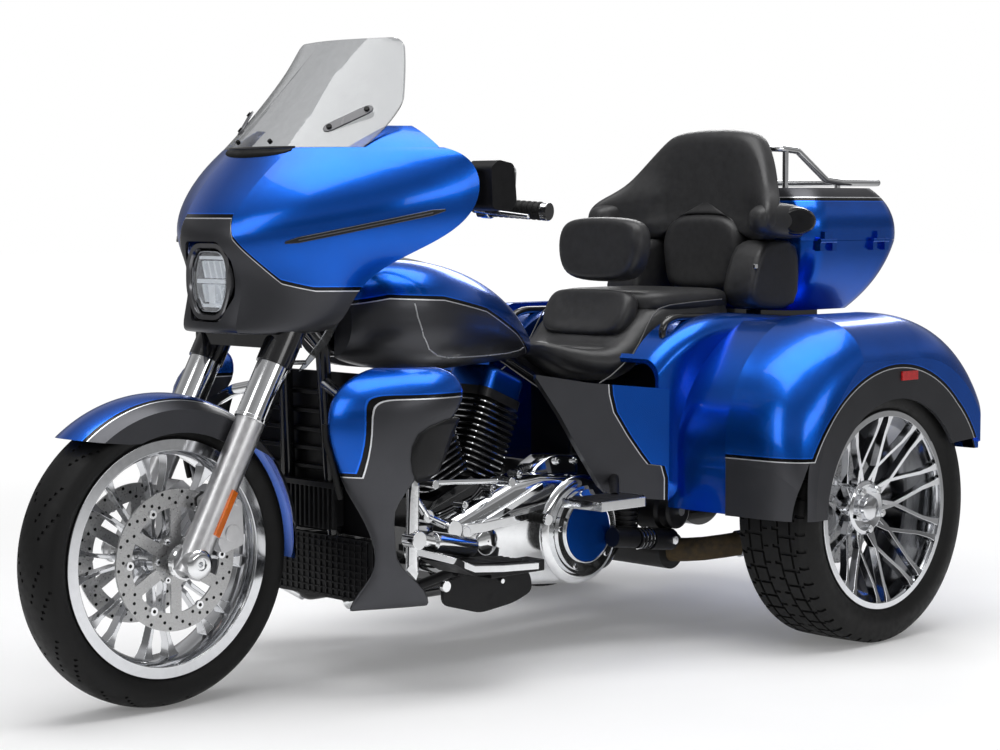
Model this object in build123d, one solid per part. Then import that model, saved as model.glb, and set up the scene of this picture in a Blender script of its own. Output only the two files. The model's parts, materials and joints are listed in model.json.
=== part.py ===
"""Three-wheeled touring motorcycle: steered front wheel, V-twin engine, hollow rear body with a trunk
and two wide rear wheels, and a hinged top box behind the seats.

Frame, in millimetres: +X forward, +Y to the rider's left, +Z up. The origin is on the ground, at the
middle of the length and of the width.
"""

import math
import os

from build123d import *

# Driving dimensions
WHEELBASE = 1670.0
FRONT_AXLE_X = 1026.0
REAR_AXLE_X = FRONT_AXLE_X - WHEELBASE

FRONT_TYRE_RADIUS = 319.0
FRONT_TYRE_WIDTH = 132.0
FRONT_RIM_RADIUS = 254.0
FRONT_RIM_WIDTH = 108.0

REAR_TYRE_RADIUS = 325.0
REAR_TYRE_WIDTH = 214.0
REAR_RIM_RADIUS = 243.0
REAR_WHEEL_Y = 566.0

RIM_LIP = 5.0
RIM_BARREL = 16.0
RIM_LIP_HEIGHT = 9.0
SEAT_GAP = 0.3

RAKE = 26.0
TRAIL = 100.0
FORK_ANGLE = 28.7
FORK_SPACING = 240.0
STANCHION_RADIUS = 26.0
SLIDER_RADIUS = 32.0
AXLE_RADIUS = 11.0
STEM_RADIUS = 19.0
AXLE_BORE = 6.0
AXLE_BORE_DEPTH = 18.0

DISC_RADIUS = 150.0
DISC_THICKNESS = 5.0
DISC_Y = 71.0

FENDER_GAP = 24.0
FENDER_WALL = 4.0
FENDER_WIDTH = 174.0

CRANK = (200.0, 300.0)
CYLINDER_TILT = 22.5
CLUTCH = (-62.0, 288.0)
PRIMARY_INNER_Y = 96.0
PRIMARY_OUTER_Y = 205.0
DERBY_RADIUS = 106.0

BODY_HALF_WIDTH = 330.0
BODY_WALL = 10.0
FENDER_FACE_Y = 698.0
ARCH_RADIUS = 272.0
WHEEL_WELL_RADIUS = 358.0

BOX_SEAM_Z = 968.0
BOX_HALF_WIDTH = 280.0
BOX_WALL = 6.0
REAR_END_X = -1345.0

FRAME_TUBE_RADIUS = 16.0
STEER_TAN = math.tan(math.radians(RAKE))
FORK_TAN = math.tan(math.radians(FORK_ANGLE))
PARTS = {}


def steer_x(z):
    """X of the steering axis at height z."""
    return FRONT_AXLE_X + TRAIL - STEER_TAN * z


def fork_x(z):
    """X of the fork legs' centreline at height z."""
    return FRONT_AXLE_X - 6.0 - FORK_TAN * (z - FRONT_TYRE_RADIUS)


def block(x0, x1, y0, y1, z0, z1):
    """Square block between two corners."""
    return Pos((x0 + x1) / 2, (y0 + y1) / 2, (z0 + z1) / 2) * Box(x1 - x0, y1 - y0, z1 - z0)


def rod(start, end, radius):
    """Round bar between two points."""
    run = Vector(*end) - Vector(*start)
    bar = Cylinder(radius, run.length, align=(Align.CENTER, Align.CENTER, Align.MIN))
    return Plane(origin=start, z_dir=run) * bar


def tube(points, radius, bend):
    """Round bar along straight runs joined by arcs."""
    route = FilletPolyline(*points, radius=bend)
    return sweep(Plane(origin=route @ 0, z_dir=route % 0) * Circle(radius), path=route)


def flat_bar(start, end, width, thickness, face=(0, 1, 0)):
    """Flat bar between two points, its broad side turned to the direction of face."""
    run = Vector(*end) - Vector(*start)
    side = Vector(*face).cross(run)
    plane = Plane(origin=(Vector(*start) + Vector(*end)) * 0.5, x_dir=run, z_dir=run.cross(side))
    return plane * Box(run.length, width, thickness)


def outline_face(points, radius=0.0):
    """Closed face in a plane's own coordinates, with its corners rounded."""
    if radius:
        return make_face(FilletPolyline(*points, radius=radius, close=True))
    return make_face(Polyline(*points, close=True))


def side_prism(points, y0, y1, radius=0.0):
    """Side-view outline (x, z) carried from y0 to y1."""
    plane = Plane(origin=(0, y0, 0), x_dir=(1, 0, 0), z_dir=(0, -1, 0))
    return extrude(plane * outline_face(points, radius), amount=y1 - y0, dir=(0, 1, 0))


def front_prism(points, x0, x1, radius=0.0):
    """Front-view outline (y, z) carried from x0 to x1."""
    plane = Plane(origin=(x0, 0, 0), x_dir=(0, 1, 0), z_dir=(1, 0, 0))
    return extrude(plane * outline_face(points, radius), amount=x1 - x0, dir=(1, 0, 0))


def plan_prism(points, z0, z1, radius=0.0):
    """Plan outline (x, y) carried from z0 to z1."""
    return extrude(Pos(0, 0, z0) * outline_face(points, radius), amount=z1 - z0, dir=(0, 0, 1))


def other_side(shape):
    """The same shape on the other side of the vehicle."""
    return mirror(shape, about=Plane.XZ)


def both_sides(shape):
    """A shape and its mirror image, as separate solids of one piece."""
    return Compound(children=[*shape.solids(), *other_side(shape).solids()])


def spun(profile, x, z, start=0.0, arc=360.0):
    """Profile (y, radius) turned about a wheel's axle, from start degrees ahead of the top."""
    face = Plane(origin=(x, 0, z), x_dir=(0, 1, 0), z_dir=(1, 0, 0)) * profile
    axle = Axis((x, 0, z), (0, 1, 0))
    return revolve(face, axis=axle, revolution_arc=arc).rotate(axle, start)


# Wheels
def tyre_profile(y, radius, width, rim_radius, rim_width):
    """Tyre section: beads inside the rim's lips, round shoulders and a low crown."""
    bead = rim_radius - RIM_LIP_HEIGHT + SEAT_GAP
    seat = rim_width / 2 - RIM_LIP - SEAT_GAP
    half = width / 2
    lip = rim_radius + SEAT_GAP
    height = radius - lip
    crown = 0.9 * half
    shoulder = radius - 0.36 * height
    edges = [Line((y + seat, lip), (y + seat, bead))]
    edges += [Line((y + seat, bead), (y - seat, bead))]
    edges += [Line((y - seat, bead), (y - seat, lip))]
    edges += [ThreePointArc((y - seat, lip), (y - half, lip + 0.42 * height), (y - crown, shoulder))]
    edges += [ThreePointArc((y - crown, shoulder), (y, radius), (y + crown, shoulder))]
    edges += [ThreePointArc((y + crown, shoulder), (y + half, lip + 0.42 * height), (y + seat, lip))]
    return make_face(edges)


def wide_tyre_profile(y, radius, width, rim_radius, rim_width):
    """Car-type tyre section: flat tread, tight shoulders and short sidewalls."""
    bead = rim_radius - RIM_LIP_HEIGHT + SEAT_GAP
    seat = rim_width / 2 - RIM_LIP - SEAT_GAP
    half = width / 2
    lip = rim_radius + SEAT_GAP
    height = radius - lip
    tread = 0.82 * half
    shoulder = radius - 0.36 * height
    edges = [Line((y + seat, lip), (y + seat, bead))]
    edges += [Line((y + seat, bead), (y - seat, bead))]
    edges += [Line((y - seat, bead), (y - seat, lip))]
    edges += [ThreePointArc((y - seat, lip), (y - half, lip + 0.4 * height), (y - half + 4, shoulder))]
    bend = 0.93 * half
    edges += [ThreePointArc((y - half + 4, shoulder), (y - bend, radius - 8), (y - tread, radius - 2))]
    edges += [ThreePointArc((y - tread, radius - 2), (y, radius), (y + tread, radius - 2))]
    edges += [ThreePointArc((y + tread, radius - 2), (y + bend, radius - 8), (y + half - 4, shoulder))]
    edges += [ThreePointArc((y + half - 4, shoulder), (y + half, lip + 0.4 * height), (y + seat, lip))]
    return make_face(edges)


def rim_ring(x, y, z, rim_radius, rim_width):
    """Rim barrel with a lip at each edge."""
    half = rim_width / 2
    seat = rim_radius - RIM_LIP_HEIGHT
    inner = seat - RIM_BARREL
    points = [(-half, inner), (-half, rim_radius), (RIM_LIP - half, rim_radius), (RIM_LIP - half, seat)]
    points += [(half - RIM_LIP, seat), (half - RIM_LIP, rim_radius), (half, rim_radius), (half, inner)]
    return spun(outline_face([(y + a, b) for a, b in points]), x, z)


def wheel_point(x, y, z, radius, angle):
    """Point of a wheel at a radius and an angle, in degrees ahead of the top."""
    turn = math.radians(angle)
    return (x + radius * math.sin(turn), y, z + radius * math.cos(turn))


def wheel_disc(x, y0, y1, z, radius):
    """Round disc across a wheel's axle."""
    return rod((x, y0, z), (x, y1, z), radius)


FRONT_SPOKES = 10
FRONT_HUB_RADIUS = 40.0
FRONT_HUB_HALF = 62.0


def front_rim():
    """Rim, hub and forked spokes of the front wheel, with a clear bore for the axle."""
    x, z = FRONT_AXLE_X, FRONT_TYRE_RADIUS
    barrel = FRONT_RIM_RADIUS - RIM_LIP_HEIGHT - RIM_BARREL / 2
    pieces = [wheel_disc(x, -FRONT_HUB_HALF, FRONT_HUB_HALF, z, FRONT_HUB_RADIUS)]
    for i in range(FRONT_SPOKES):
        angle = i * 360.0 / FRONT_SPOKES
        fork = wheel_point(x, 0, z, 0.58 * FRONT_RIM_RADIUS, angle)
        pieces.append(flat_bar(wheel_point(x, 0, z, FRONT_HUB_RADIUS - 4, angle), fork, 14, 22))
        for side in (-1, 1):
            pieces.append(flat_bar(fork, wheel_point(x, 0, z, barrel, angle + side * 10), 10, 22))
    rim = rim_ring(x, 0, z, FRONT_RIM_RADIUS, FRONT_RIM_WIDTH).fuse(*pieces)
    return rim - wheel_disc(x, -FRONT_HUB_HALF - 1, FRONT_HUB_HALF + 1, z, AXLE_RADIUS + SEAT_GAP)


DISC_INNER = 112.0
DISC_CARRIER_ARMS = 6


def front_discs():
    """Brake disc and carrier at each side of the front hub."""
    x, z = FRONT_AXLE_X, FRONT_TYRE_RADIUS
    y0, y1 = FRONT_HUB_HALF, DISC_Y + DISC_THICKNESS / 2
    ring = wheel_disc(x, y1 - DISC_THICKNESS, y1, z, DISC_RADIUS)
    ring -= wheel_disc(x, y0, y1 + 1, z, DISC_INNER)
    hub = wheel_disc(x, y0, y1, z, FRONT_HUB_RADIUS + 12)
    arms = [
        flat_bar(
            wheel_point(x, y1 - DISC_THICKNESS / 2, z, FRONT_HUB_RADIUS, i * 360 / DISC_CARRIER_ARMS),
            wheel_point(x, y1 - DISC_THICKNESS / 2, z, DISC_INNER + 8, i * 360 / DISC_CARRIER_ARMS),
            26,
            DISC_THICKNESS,
        )
        for i in range(DISC_CARRIER_ARMS)
    ]
    disc = ring.fuse(hub, *arms) - wheel_disc(x, y0 - 1, y1 + 1, z, AXLE_RADIUS + 8)
    return both_sides(disc)


REAR_SPOKES = 10
REAR_HUB_RADIUS = 72.0
REAR_DISH = 58.0
REAR_RIM_WIDTH = 196.0
REAR_BORE = 30.0


def rear_rim():
    """Left rear rim: deep barrel, dished pairs of spokes and a broad hub."""
    x, y, z = REAR_AXLE_X, REAR_WHEEL_Y, REAR_TYRE_RADIUS
    face = y + REAR_RIM_WIDTH / 2 - 10
    hub_face = face - REAR_DISH
    barrel = REAR_RIM_RADIUS - RIM_LIP_HEIGHT - RIM_BARREL / 2
    pieces = [wheel_disc(x, hub_face - 46, hub_face + 8, z, REAR_HUB_RADIUS)]
    step = 360.0 / REAR_SPOKES
    for i in range(REAR_SPOKES):
        for side in (-1, 1):
            inner = wheel_point(x, hub_face - 8, z, REAR_HUB_RADIUS - 6, (i - 0.5 * side) * step)
            outer = wheel_point(x, face - 6, z, barrel, i * step + side * 7)
            pieces.append(flat_bar(inner, outer, 13, 20))
    rim = rim_ring(x, y, z, REAR_RIM_RADIUS, REAR_RIM_WIDTH).fuse(*pieces)
    return rim - wheel_disc(x, hub_face - 60, hub_face - 12, z, REAR_BORE + SEAT_GAP)


def rear_disc():
    """Left rear brake disc on the inner side of the hub."""
    x, z = REAR_AXLE_X, REAR_TYRE_RADIUS
    hub = REAR_WHEEL_Y + REAR_RIM_WIDTH / 2 - 10 - REAR_DISH - 46
    disc = wheel_disc(x, hub - 38, hub - 26, z, DISC_RADIUS - 5)
    disc += wheel_disc(x, hub - 38, hub, z, REAR_HUB_RADIUS - 4)
    return disc - wheel_disc(x, hub - 50, hub + 1, z, REAR_BORE + SEAT_GAP)


def build_wheels():
    """Tyres, rims and discs of the three wheels."""
    front = (FRONT_TYRE_RADIUS, FRONT_TYRE_WIDTH, FRONT_RIM_RADIUS, FRONT_RIM_WIDTH)
    PARTS["front_tyre"] = spun(tyre_profile(0, *front), FRONT_AXLE_X, FRONT_TYRE_RADIUS)
    PARTS["front_rim"] = front_rim()
    PARTS["front_discs"] = front_discs()
    rear = (REAR_TYRE_RADIUS, REAR_TYRE_WIDTH, REAR_RIM_RADIUS, REAR_RIM_WIDTH)
    left = {
        "rear_tyre": spun(wide_tyre_profile(REAR_WHEEL_Y, *rear), REAR_AXLE_X, REAR_TYRE_RADIUS),
        "rear_rim": rear_rim(),
        "rear_disc": rear_disc(),
    }
    for name, shape in left.items():
        PARTS[f"{name}_left"] = shape
        PARTS[f"{name}_right"] = other_side(shape)


# Fork and front fender
CROWN_LOW_Z = 770.0
CROWN_HIGH_Z = 968.0
CROWN_HEIGHT = 30.0
SLIDER_TOP_Z = 622.0
FORK_Y = FORK_SPACING / 2


def fork_legs():
    """Polished sliders and stanchions, bored for the axle."""
    low, top = FRONT_TYRE_RADIUS - 26, CROWN_HIGH_Z + CROWN_HEIGHT / 2
    leg = rod((fork_x(low), FORK_Y, low), (fork_x(SLIDER_TOP_Z), FORK_Y, SLIDER_TOP_Z), SLIDER_RADIUS)
    leg += rod((fork_x(SLIDER_TOP_Z), FORK_Y, SLIDER_TOP_Z), (fork_x(top), FORK_Y, top), STANCHION_RADIUS)
    leg += wheel_disc(FRONT_AXLE_X, FORK_Y - 26, FORK_Y + 34, FRONT_TYRE_RADIUS, 27)
    leg -= wheel_disc(FRONT_AXLE_X, 0, 2 * FORK_Y, FRONT_TYRE_RADIUS, AXLE_RADIUS)
    return both_sides(leg)


def front_axle():
    """Front axle, through both legs and the hub."""
    reach = FORK_Y + 40
    axle = wheel_disc(FRONT_AXLE_X, -reach, reach, FRONT_TYRE_RADIUS, AXLE_RADIUS)
    return axle - wheel_disc(FRONT_AXLE_X, reach - AXLE_BORE_DEPTH, reach + 1, FRONT_TYRE_RADIUS, AXLE_BORE)


def fork_crown(z, height):
    """Yoke that clamps both stanchions and the stem at one height."""
    xs, xf = steer_x(z), fork_x(z)
    points = [(xs - 34, -30), (xf - 40, -FORK_Y - 12), (xf - 20, -FORK_Y - 38), (xf + 36, -FORK_Y - 30)]
    points += [(xf + 40, 0)]
    points += [(px, -py) for px, py in reversed(points[:-1])]
    return plan_prism(points, z - height / 2, z + height / 2, 10)


def fork_crowns():
    """Lower and upper yokes, the stem between them and the covers over the stanchions."""
    low, high = CROWN_LOW_Z, CROWN_HIGH_Z
    crowns = fork_crown(low, CROWN_HEIGHT).fuse(fork_crown(high, CROWN_HEIGHT))
    crowns += rod((steer_x(low), 0, low), (steer_x(high), 0, high), STEM_RADIUS)
    for side in (-1, 1):
        y = side * FORK_Y
        crowns += rod((fork_x(718), y, 718), (fork_x(low + 70), y, low + 70), STANCHION_RADIUS + 13)
    for side in (-1, 1):
        y = side * FORK_Y
        crowns -= rod((fork_x(650), y, 650), (fork_x(high + 60), y, high + 60), STANCHION_RADIUS)
    return crowns


def front_fender():
    """Fender shell over the front tyre, with deep sides that are cut back at both tips."""
    inner = FRONT_TYRE_RADIUS + FENDER_GAP
    outer = inner + FENDER_WALL
    half = FENDER_WIDTH / 2
    skirt = FRONT_RIM_RADIUS + 14
    crown = 30.0
    edges = [
        Line((-half, skirt), (-half, outer - crown)),
        ThreePointArc((-half, outer - crown), (0, outer), (half, outer - crown)),
        Line((half, outer - crown), (half, skirt)),
        Line((half, skirt), (half - FENDER_WALL, skirt)),
        Line((half - FENDER_WALL, skirt), (half - FENDER_WALL, inner - crown)),
        ThreePointArc((half - FENDER_WALL, inner - crown), (0, inner), (FENDER_WALL - half, inner - crown)),
        Line((FENDER_WALL - half, inner - crown), (FENDER_WALL - half, skirt)),
        Line((FENDER_WALL - half, skirt), (-half, skirt)),
    ]
    x, z = FRONT_AXLE_X, FRONT_TYRE_RADIUS
    shell = spun(make_face(edges), x, z, start=-96, arc=142)
    tail = [(x - 60, z - 150), (x - 150, z + 250), (x - 262, z + 190), (x - 330, z + 40), (x - 345, z - 150)]
    shell -= side_prism(tail, -half - 20, half + 20)
    nose = [(x + 20, z + 60), (x + 20, z + 250), (x + 120, z + 252), (x + 250, z + 268), (x + 330, z + 60)]
    shell -= side_prism(nose, -half - 20, half + 20)
    for side in (-1, 1):
        pad = rod((fork_x(584), side * (half - 3), 584), (fork_x(584), side * FORK_Y, 584), 14)
        shell += pad - fork_legs()
    return shell


def brake_calipers():
    """Caliper at the rear of each leg, open round the disc."""
    x, z = FRONT_AXLE_X, FRONT_TYRE_RADIUS
    spine = wheel_point(x, 0, z, DISC_RADIUS - 14, -54)
    points = [(-44, -60), (12, -74), (52, 0), (60, 46), (10, 72), (-40, 30)]
    body = side_prism([(spine[0] + a, spine[2] + b) for a, b in points], DISC_Y - 30, DISC_Y + 34, 10)
    gap = DISC_THICKNESS / 2 + 5
    slot = wheel_disc(x, DISC_Y - gap, DISC_Y + gap, z, DISC_RADIUS + 6)
    return both_sides(body - slot - fork_legs())


def build_fork():
    """Everything of the fork below the fairing."""
    PARTS["front_axle"] = front_axle()
    PARTS["fork_legs"] = fork_legs()
    PARTS["fork_crowns"] = fork_crowns()
    PARTS["front_fender"] = front_fender()
    PARTS["brake_calipers"] = brake_calipers()


# Fairing, windshield and handlebar
FAIRING_WALL = 7.0
HEADLAMP_Z = 896.0
HEADLAMP_WIDTH = 158.0
HEADLAMP_HEIGHT = 172.0
# Plan sections of the fairing: height, nose x, corner of the nose (y, x), mid-wing (y, x), tip (y, x)
FAIRING_ROWS = [
    (786.0, 872.0, (96.0, 858.0), (128.0, 820.0), (140.0, 752.0)),
    (860.0, 884.0, (94.0, 868.0), (168.0, 790.0), (226.0, 664.0)),
    (940.0, 892.0, (90.0, 876.0), (212.0, 775.0), (306.0, 616.0)),
    (1028.0, 894.0, (86.0, 880.0), (268.0, 752.0), (396.0, 500.0)),
    (1100.0, 838.0, (92.0, 826.0), (282.0, 708.0), (408.0, 468.0)),
    (1160.0, 782.0, (104.0, 764.0), (262.0, 668.0), (390.0, 488.0)),
    (1182.0, 762.0, (116.0, 736.0), (244.0, 654.0), (352.0, 520.0)),
]


def strip_section(nose, corner, wing, tip, wall):
    """Plan outline of a thin bow: three arcs outside, three inside, closed at the tips."""
    lean = 0.7 * wall
    outer = [(tip[1], -tip[0]), (wing[1], -wing[0]), (corner[1], -corner[0]), (nose, 0.0)]
    inner = [
        (tip[1] - 0.2 * wall, wall - tip[0]),
        (wing[1] - lean, lean - wing[0]),
        (corner[1] - wall, 0.4 * wall - corner[0]),
        (nose - wall, 0.0),
    ]
    edges = []
    for row in (outer, inner):
        mirrored = [(px, -py) for px, py in row]
        edges.append(ThreePointArc(row[0], row[1], row[2]))
        edges.append(ThreePointArc(row[2], row[3], mirrored[2]))
        edges.append(ThreePointArc(mirrored[2], mirrored[1], mirrored[0]))
    edges.append(Line(outer[0], inner[0]))
    edges.append(Line((outer[0][0], -outer[0][1]), (inner[0][0], -inner[0][1])))
    return make_face(edges)


# Collar at the foot of the windshield: height, front (x, y), middle (x, y), rear (x, y)
COLLAR_ROWS = [
    (1176.0, (682.0, 214.0), (606.0, 292.0), (522.0, 350.0)),
    (1206.0, (626.0, 226.0), (578.0, 270.0), (524.0, 306.0)),
    (1230.0, (572.0, 228.0), (553.0, 244.0), (528.0, 260.0)),
]


def arc_strip(front, middle, rear, shift):
    """Plan outline between an arc and the same arc moved by shift."""
    inner = [(px + shift[0], py + shift[1]) for px, py in (front, middle, rear)]
    edges = [ThreePointArc(front, middle, rear), Line(rear, inner[2])]
    edges += [ThreePointArc(inner[2], inner[1], inner[0]), Line(inner[0], front)]
    return make_face(edges)


def headlamp_outline():
    """Front-view outline (y, z) of the headlamp, tapered to its foot."""
    w, h = HEADLAMP_WIDTH / 2, HEADLAMP_HEIGHT / 2
    points = [(-w, -0.35 * h), (-0.62 * w, -h), (0.62 * w, -h), (w, -0.35 * h), (w, 0.55 * h), (0.7 * w, h)]
    points += [(-0.7 * w, h), (-w, 0.55 * h)]
    return [(py, HEADLAMP_Z + pz) for py, pz in points]


def outer_fairing():
    """Painted shell from wing tip to wing tip, open at the headlamp and at the air slot."""
    rows = [Pos(0, 0, z) * strip_section(*row, FAIRING_WALL) for z, *row in FAIRING_ROWS]
    shell = loft(rows)
    lean = 0.7 * FAIRING_WALL
    collar = loft([Pos(0, 0, z) * arc_strip(*row, (-lean, -lean)) for z, *row in COLLAR_ROWS])
    shell = shell.fuse(collar, other_side(collar))
    return shell - front_prism(headlamp_outline(), 700, 940, 18)


def headlamp():
    """Headlamp unit that fills the opening."""
    return front_prism(headlamp_outline(), 800, 874, 18)


SHIELD_WALL = 4.5
# Plan sections of the windshield: height, nose x, corner (y, x), middle of the side (y, x), edge (y, x)
SHIELD_ROWS = [
    (1182.0, 761.0, (114.0, 736.0), (190.0, 695.0), (244.0, 652.0)),
    (1300.0, 640.0, (80.0, 628.0), (170.0, 584.0), (240.0, 524.0)),
    (1427.0, 522.0, (60.0, 516.0), (124.0, 500.0), (186.0, 474.0)),
]


def windshield():
    """Curved clear screen that leans back from the air slot."""
    rows = [Pos(0, 0, z) * strip_section(*row, SHIELD_WALL) for z, *row in SHIELD_ROWS]
    low, high = SHIELD_ROWS[0][0] - 100, SHIELD_ROWS[-1][0]
    points = [(-262, low), (262, low), (262, 1236), (176, high), (-176, high), (-262, 1236)]
    return loft(rows) & front_prism(points, 300, 900, 44)


def inner_fairing():
    """Dash panel behind the fairing, with a display and a speaker pod at each side."""
    half = [(160, 1050), (252, 990), (330, 988), (430, 1030), (430, 1130), (340, 1172)]
    points = half + [(-py, pz) for py, pz in reversed(half)]
    panel = front_prism(points, 548, 572, 12) - outer_fairing()
    panel = max(panel.solids(), key=lambda s: s.volume)
    panel += front_prism([(-150, 1040), (150, 1040), (150, 1148), (-150, 1148)], 528, 550, 10)
    for side in (-1, 1):
        panel += rod((556, side * 236, 1068), (536, side * 236, 1068), 62)
    return panel


def handlebar():
    """Bar from the upper yoke up to the grips, with the grips and switch housings."""
    grip_z = 1046.0
    clamp_x = fork_x(1000)
    points = [(clamp_x, 60, CROWN_HIGH_Z + CROWN_HEIGHT / 2), (clamp_x, 60, 1012), (470, 120, 1030)]
    points += [(392, 230, 1060), (340, 300, 1056), (302, 436, grip_z)]
    bar = tube(points, 12.5, 18)
    bar += rod((336, 314, 1054), (302, 438, grip_z), 18)
    bar += rod((352, 284, 1056), (337, 312, 1054), 23)
    bar += rod((304, 436, grip_z), (300, 452, grip_z - 1), 19)
    return both_sides(bar)


def hand_levers():
    """Clutch and brake levers ahead of the grips."""
    lever = tube([(378, 300, 1050), (372, 330, 1046), (345, 432, 1034)], 6, 12)
    lever += rod((352, 290, 1054), (378, 298, 1051), 9)
    return both_sides(lever - handlebar())


def mirrors():
    """Mirror housings behind the wing tips."""
    points = [(392, 1046), (448, 1050), (452, 1140), (430, 1156), (384, 1148), (376, 1068)]
    case = side_prism(points, 348, 428, 14) + rod((412, 376, 1060), (344, 298, 1056), 7)
    return both_sides(case - handlebar() - hand_levers())


def light_bars():
    """Slim turn-signal bars along the wings."""
    bar = flat_bar((762, 262, 1000), (560, 400, 1050), 15, 22, (0.6, 0.8, 0)) - outer_fairing()
    return both_sides(max(bar.solids(), key=lambda s: s.center().Y))


def wind_deflectors():
    """Smoked blades behind the fork legs, under the fairing."""
    points = [(746, 712), (766, 706), (712, 762), (668, 814), (648, 814), (684, 762)]
    blade = side_prism(points, 158, 162) + rod((744, 160, 724), (fork_x(724), 128, 724), 5)
    return both_sides(blade - fork_legs() - fork_crowns())


def build_fairing():
    """Everything carried by the fork above the yokes."""
    PARTS["outer_fairing"] = outer_fairing()
    PARTS["headlamp"] = headlamp()
    PARTS["windshield"] = max((windshield() - PARTS["outer_fairing"]).solids(), key=lambda s: s.volume)
    PARTS["inner_fairing"] = inner_fairing()
    PARTS["handlebar"] = handlebar()
    PARTS["hand_levers"] = hand_levers()
    PARTS["mirrors"] = mirrors()
    PARTS["light_bars"] = light_bars()
    PARTS["wind_deflectors"] = wind_deflectors()


# Frame and engine
HEAD_LOW_Z = 802.0
HEAD_HIGH_Z = 938.0
HEAD_RADIUS = 31.0
CRADLE_Y = 80.0
CRADLE_Z = 172.0
SWING_Y = 152.0
TANK_TUNNEL = 36.0


def frame_tubes():
    """Steering head, backbone and twin cradle."""
    head = rod((steer_x(HEAD_LOW_Z), 0, HEAD_LOW_Z), (steer_x(HEAD_HIGH_Z), 0, HEAD_HIGH_Z), HEAD_RADIUS)
    mid = (HEAD_LOW_Z + HEAD_HIGH_Z) / 2
    spine = [(steer_x(mid), 0, mid), (560, 0, 742), (20, 0, 712), (-260, 0, 560), (-330, 0, 470)]
    frame = head + tube(spine, 22, 60)
    rail = [(steer_x(mid), 20, mid), (622, 66, 752), (598, CRADLE_Y, 300), (560, CRADLE_Y, CRADLE_Z)]
    rail += [(-270, CRADLE_Y, CRADLE_Z), (-330, CRADLE_Y, 240), (-330, CRADLE_Y, 470)]
    loop = [(-330, CRADLE_Y, 440), (-430, 150, 620), (-700, 150, 660)]
    pieces = [tube(rail, FRAME_TUBE_RADIUS, 34), tube(loop, FRAME_TUBE_RADIUS, 34)]
    pieces.append(rod((-330, 0, 470), (-330, CRADLE_Y, 470), 18))
    pieces.append(rod((-300, 0, 300), (-300, SWING_Y, 300), 15))
    pieces.append(rod((-330, CRADLE_Y, 300), (-300, CRADLE_Y, 300), 15))
    pieces.append(block(120, 160, 0, CRADLE_Y, CRADLE_Z + 4, CRANK[1] - 106))
    pieces.append(block(400, 440, 0, TANK_TUNNEL, 740, 764))
    for piece in pieces:
        frame += piece
        frame += other_side(piece)
    bore = rod((steer_x(700), 0, 700), (steer_x(1000), 0, 1000), STEM_RADIUS + SEAT_GAP)
    return frame - bore


def on_cylinder(lean, reach):
    """Plane across one cylinder at a distance from the crankshaft."""
    turn = math.radians(lean)
    up = (math.sin(turn), 0, math.cos(turn))
    origin = (CRANK[0] + reach * up[0], 0, CRANK[1] + reach * up[2])
    return Plane(origin=origin, x_dir=(math.cos(turn), 0, -math.sin(turn)), z_dir=up)


BARREL_START = 118.0
BARREL_END = 312.0
HEAD_END = 336.0
ROCKER_END = 392.0
FIN_PITCH = 15.0
FIN_THICKNESS = 6.0
FIN_LENGTH = 142.0
FIN_WIDTH = 168.0


def cylinder_barrel(lean):
    """Finned barrel and head of one cylinder, cut clear of the other at the middle of the V."""
    pieces = [on_cylinder(lean, BARREL_START) * extrude(Circle(60), amount=HEAD_END - BARREL_START)]
    count = int((BARREL_END - BARREL_START) / FIN_PITCH)
    for i in range(1, count + 1):
        reach = BARREL_START + i * FIN_PITCH
        fin = extrude(RectangleRounded(FIN_LENGTH, FIN_WIDTH, 30), amount=FIN_THICKNESS)
        pieces.append(on_cylinder(lean, reach) * fin)
    deck = extrude(RectangleRounded(FIN_LENGTH - 6, FIN_WIDTH - 10, 24), amount=HEAD_END - BARREL_END - 2)
    pieces.append(on_cylinder(lean, BARREL_END + 2) * deck)
    barrel = pieces[0].fuse(*pieces[1:])
    middle = CRANK[0]
    if lean > 0:
        return barrel - block(middle - 300, middle + 1.5, -200, 200, 200, 900)
    return barrel - block(middle - 1.5, middle + 300, -200, 200, 200, 900)


def rocker_cover(lean):
    """Rocker cover on top of one head."""
    cover = extrude(RectangleRounded(FIN_LENGTH - 14, FIN_WIDTH - 18, 26), amount=ROCKER_END - HEAD_END)
    cover = fillet(cover.faces().sort_by(Axis.Z)[-1].edges(), 14)
    return on_cylinder(lean, HEAD_END) * cover


def engine_block():
    """Crankcase with the two cylinder decks, and the gearbox behind it."""
    x, z = CRANK
    turn = math.radians(CYLINDER_TILT)
    drop = 78 * math.sin(turn)
    deck = z + BARREL_START * math.cos(turn)
    off = BARREL_START * math.sin(turn)
    apex = z + BARREL_START / math.cos(turn)
    points = [(x - off - 72, deck - drop), (x, apex), (x + off + 72, deck - drop), (x + 168, z + 20)]
    points += [(x + 150, z - 70), (x + 110, z - 106), (x - 120, z - 106), (x - 150, z - 40)]
    case = side_prism(points, -96, 96)
    gearbox = [(x - 118, z - 104), (x - 118, z + 66), (x - 210, z + 150), (x - 400, z + 150)]
    gearbox += [(x - 452, z + 90), (x - 452, z - 60), (x - 400, z - 104)]
    return case + side_prism(gearbox, -94, 94, 12)


PRIMARY_REAR_RADIUS = 134.0
PRIMARY_FRONT_RADIUS = 100.0


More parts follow.
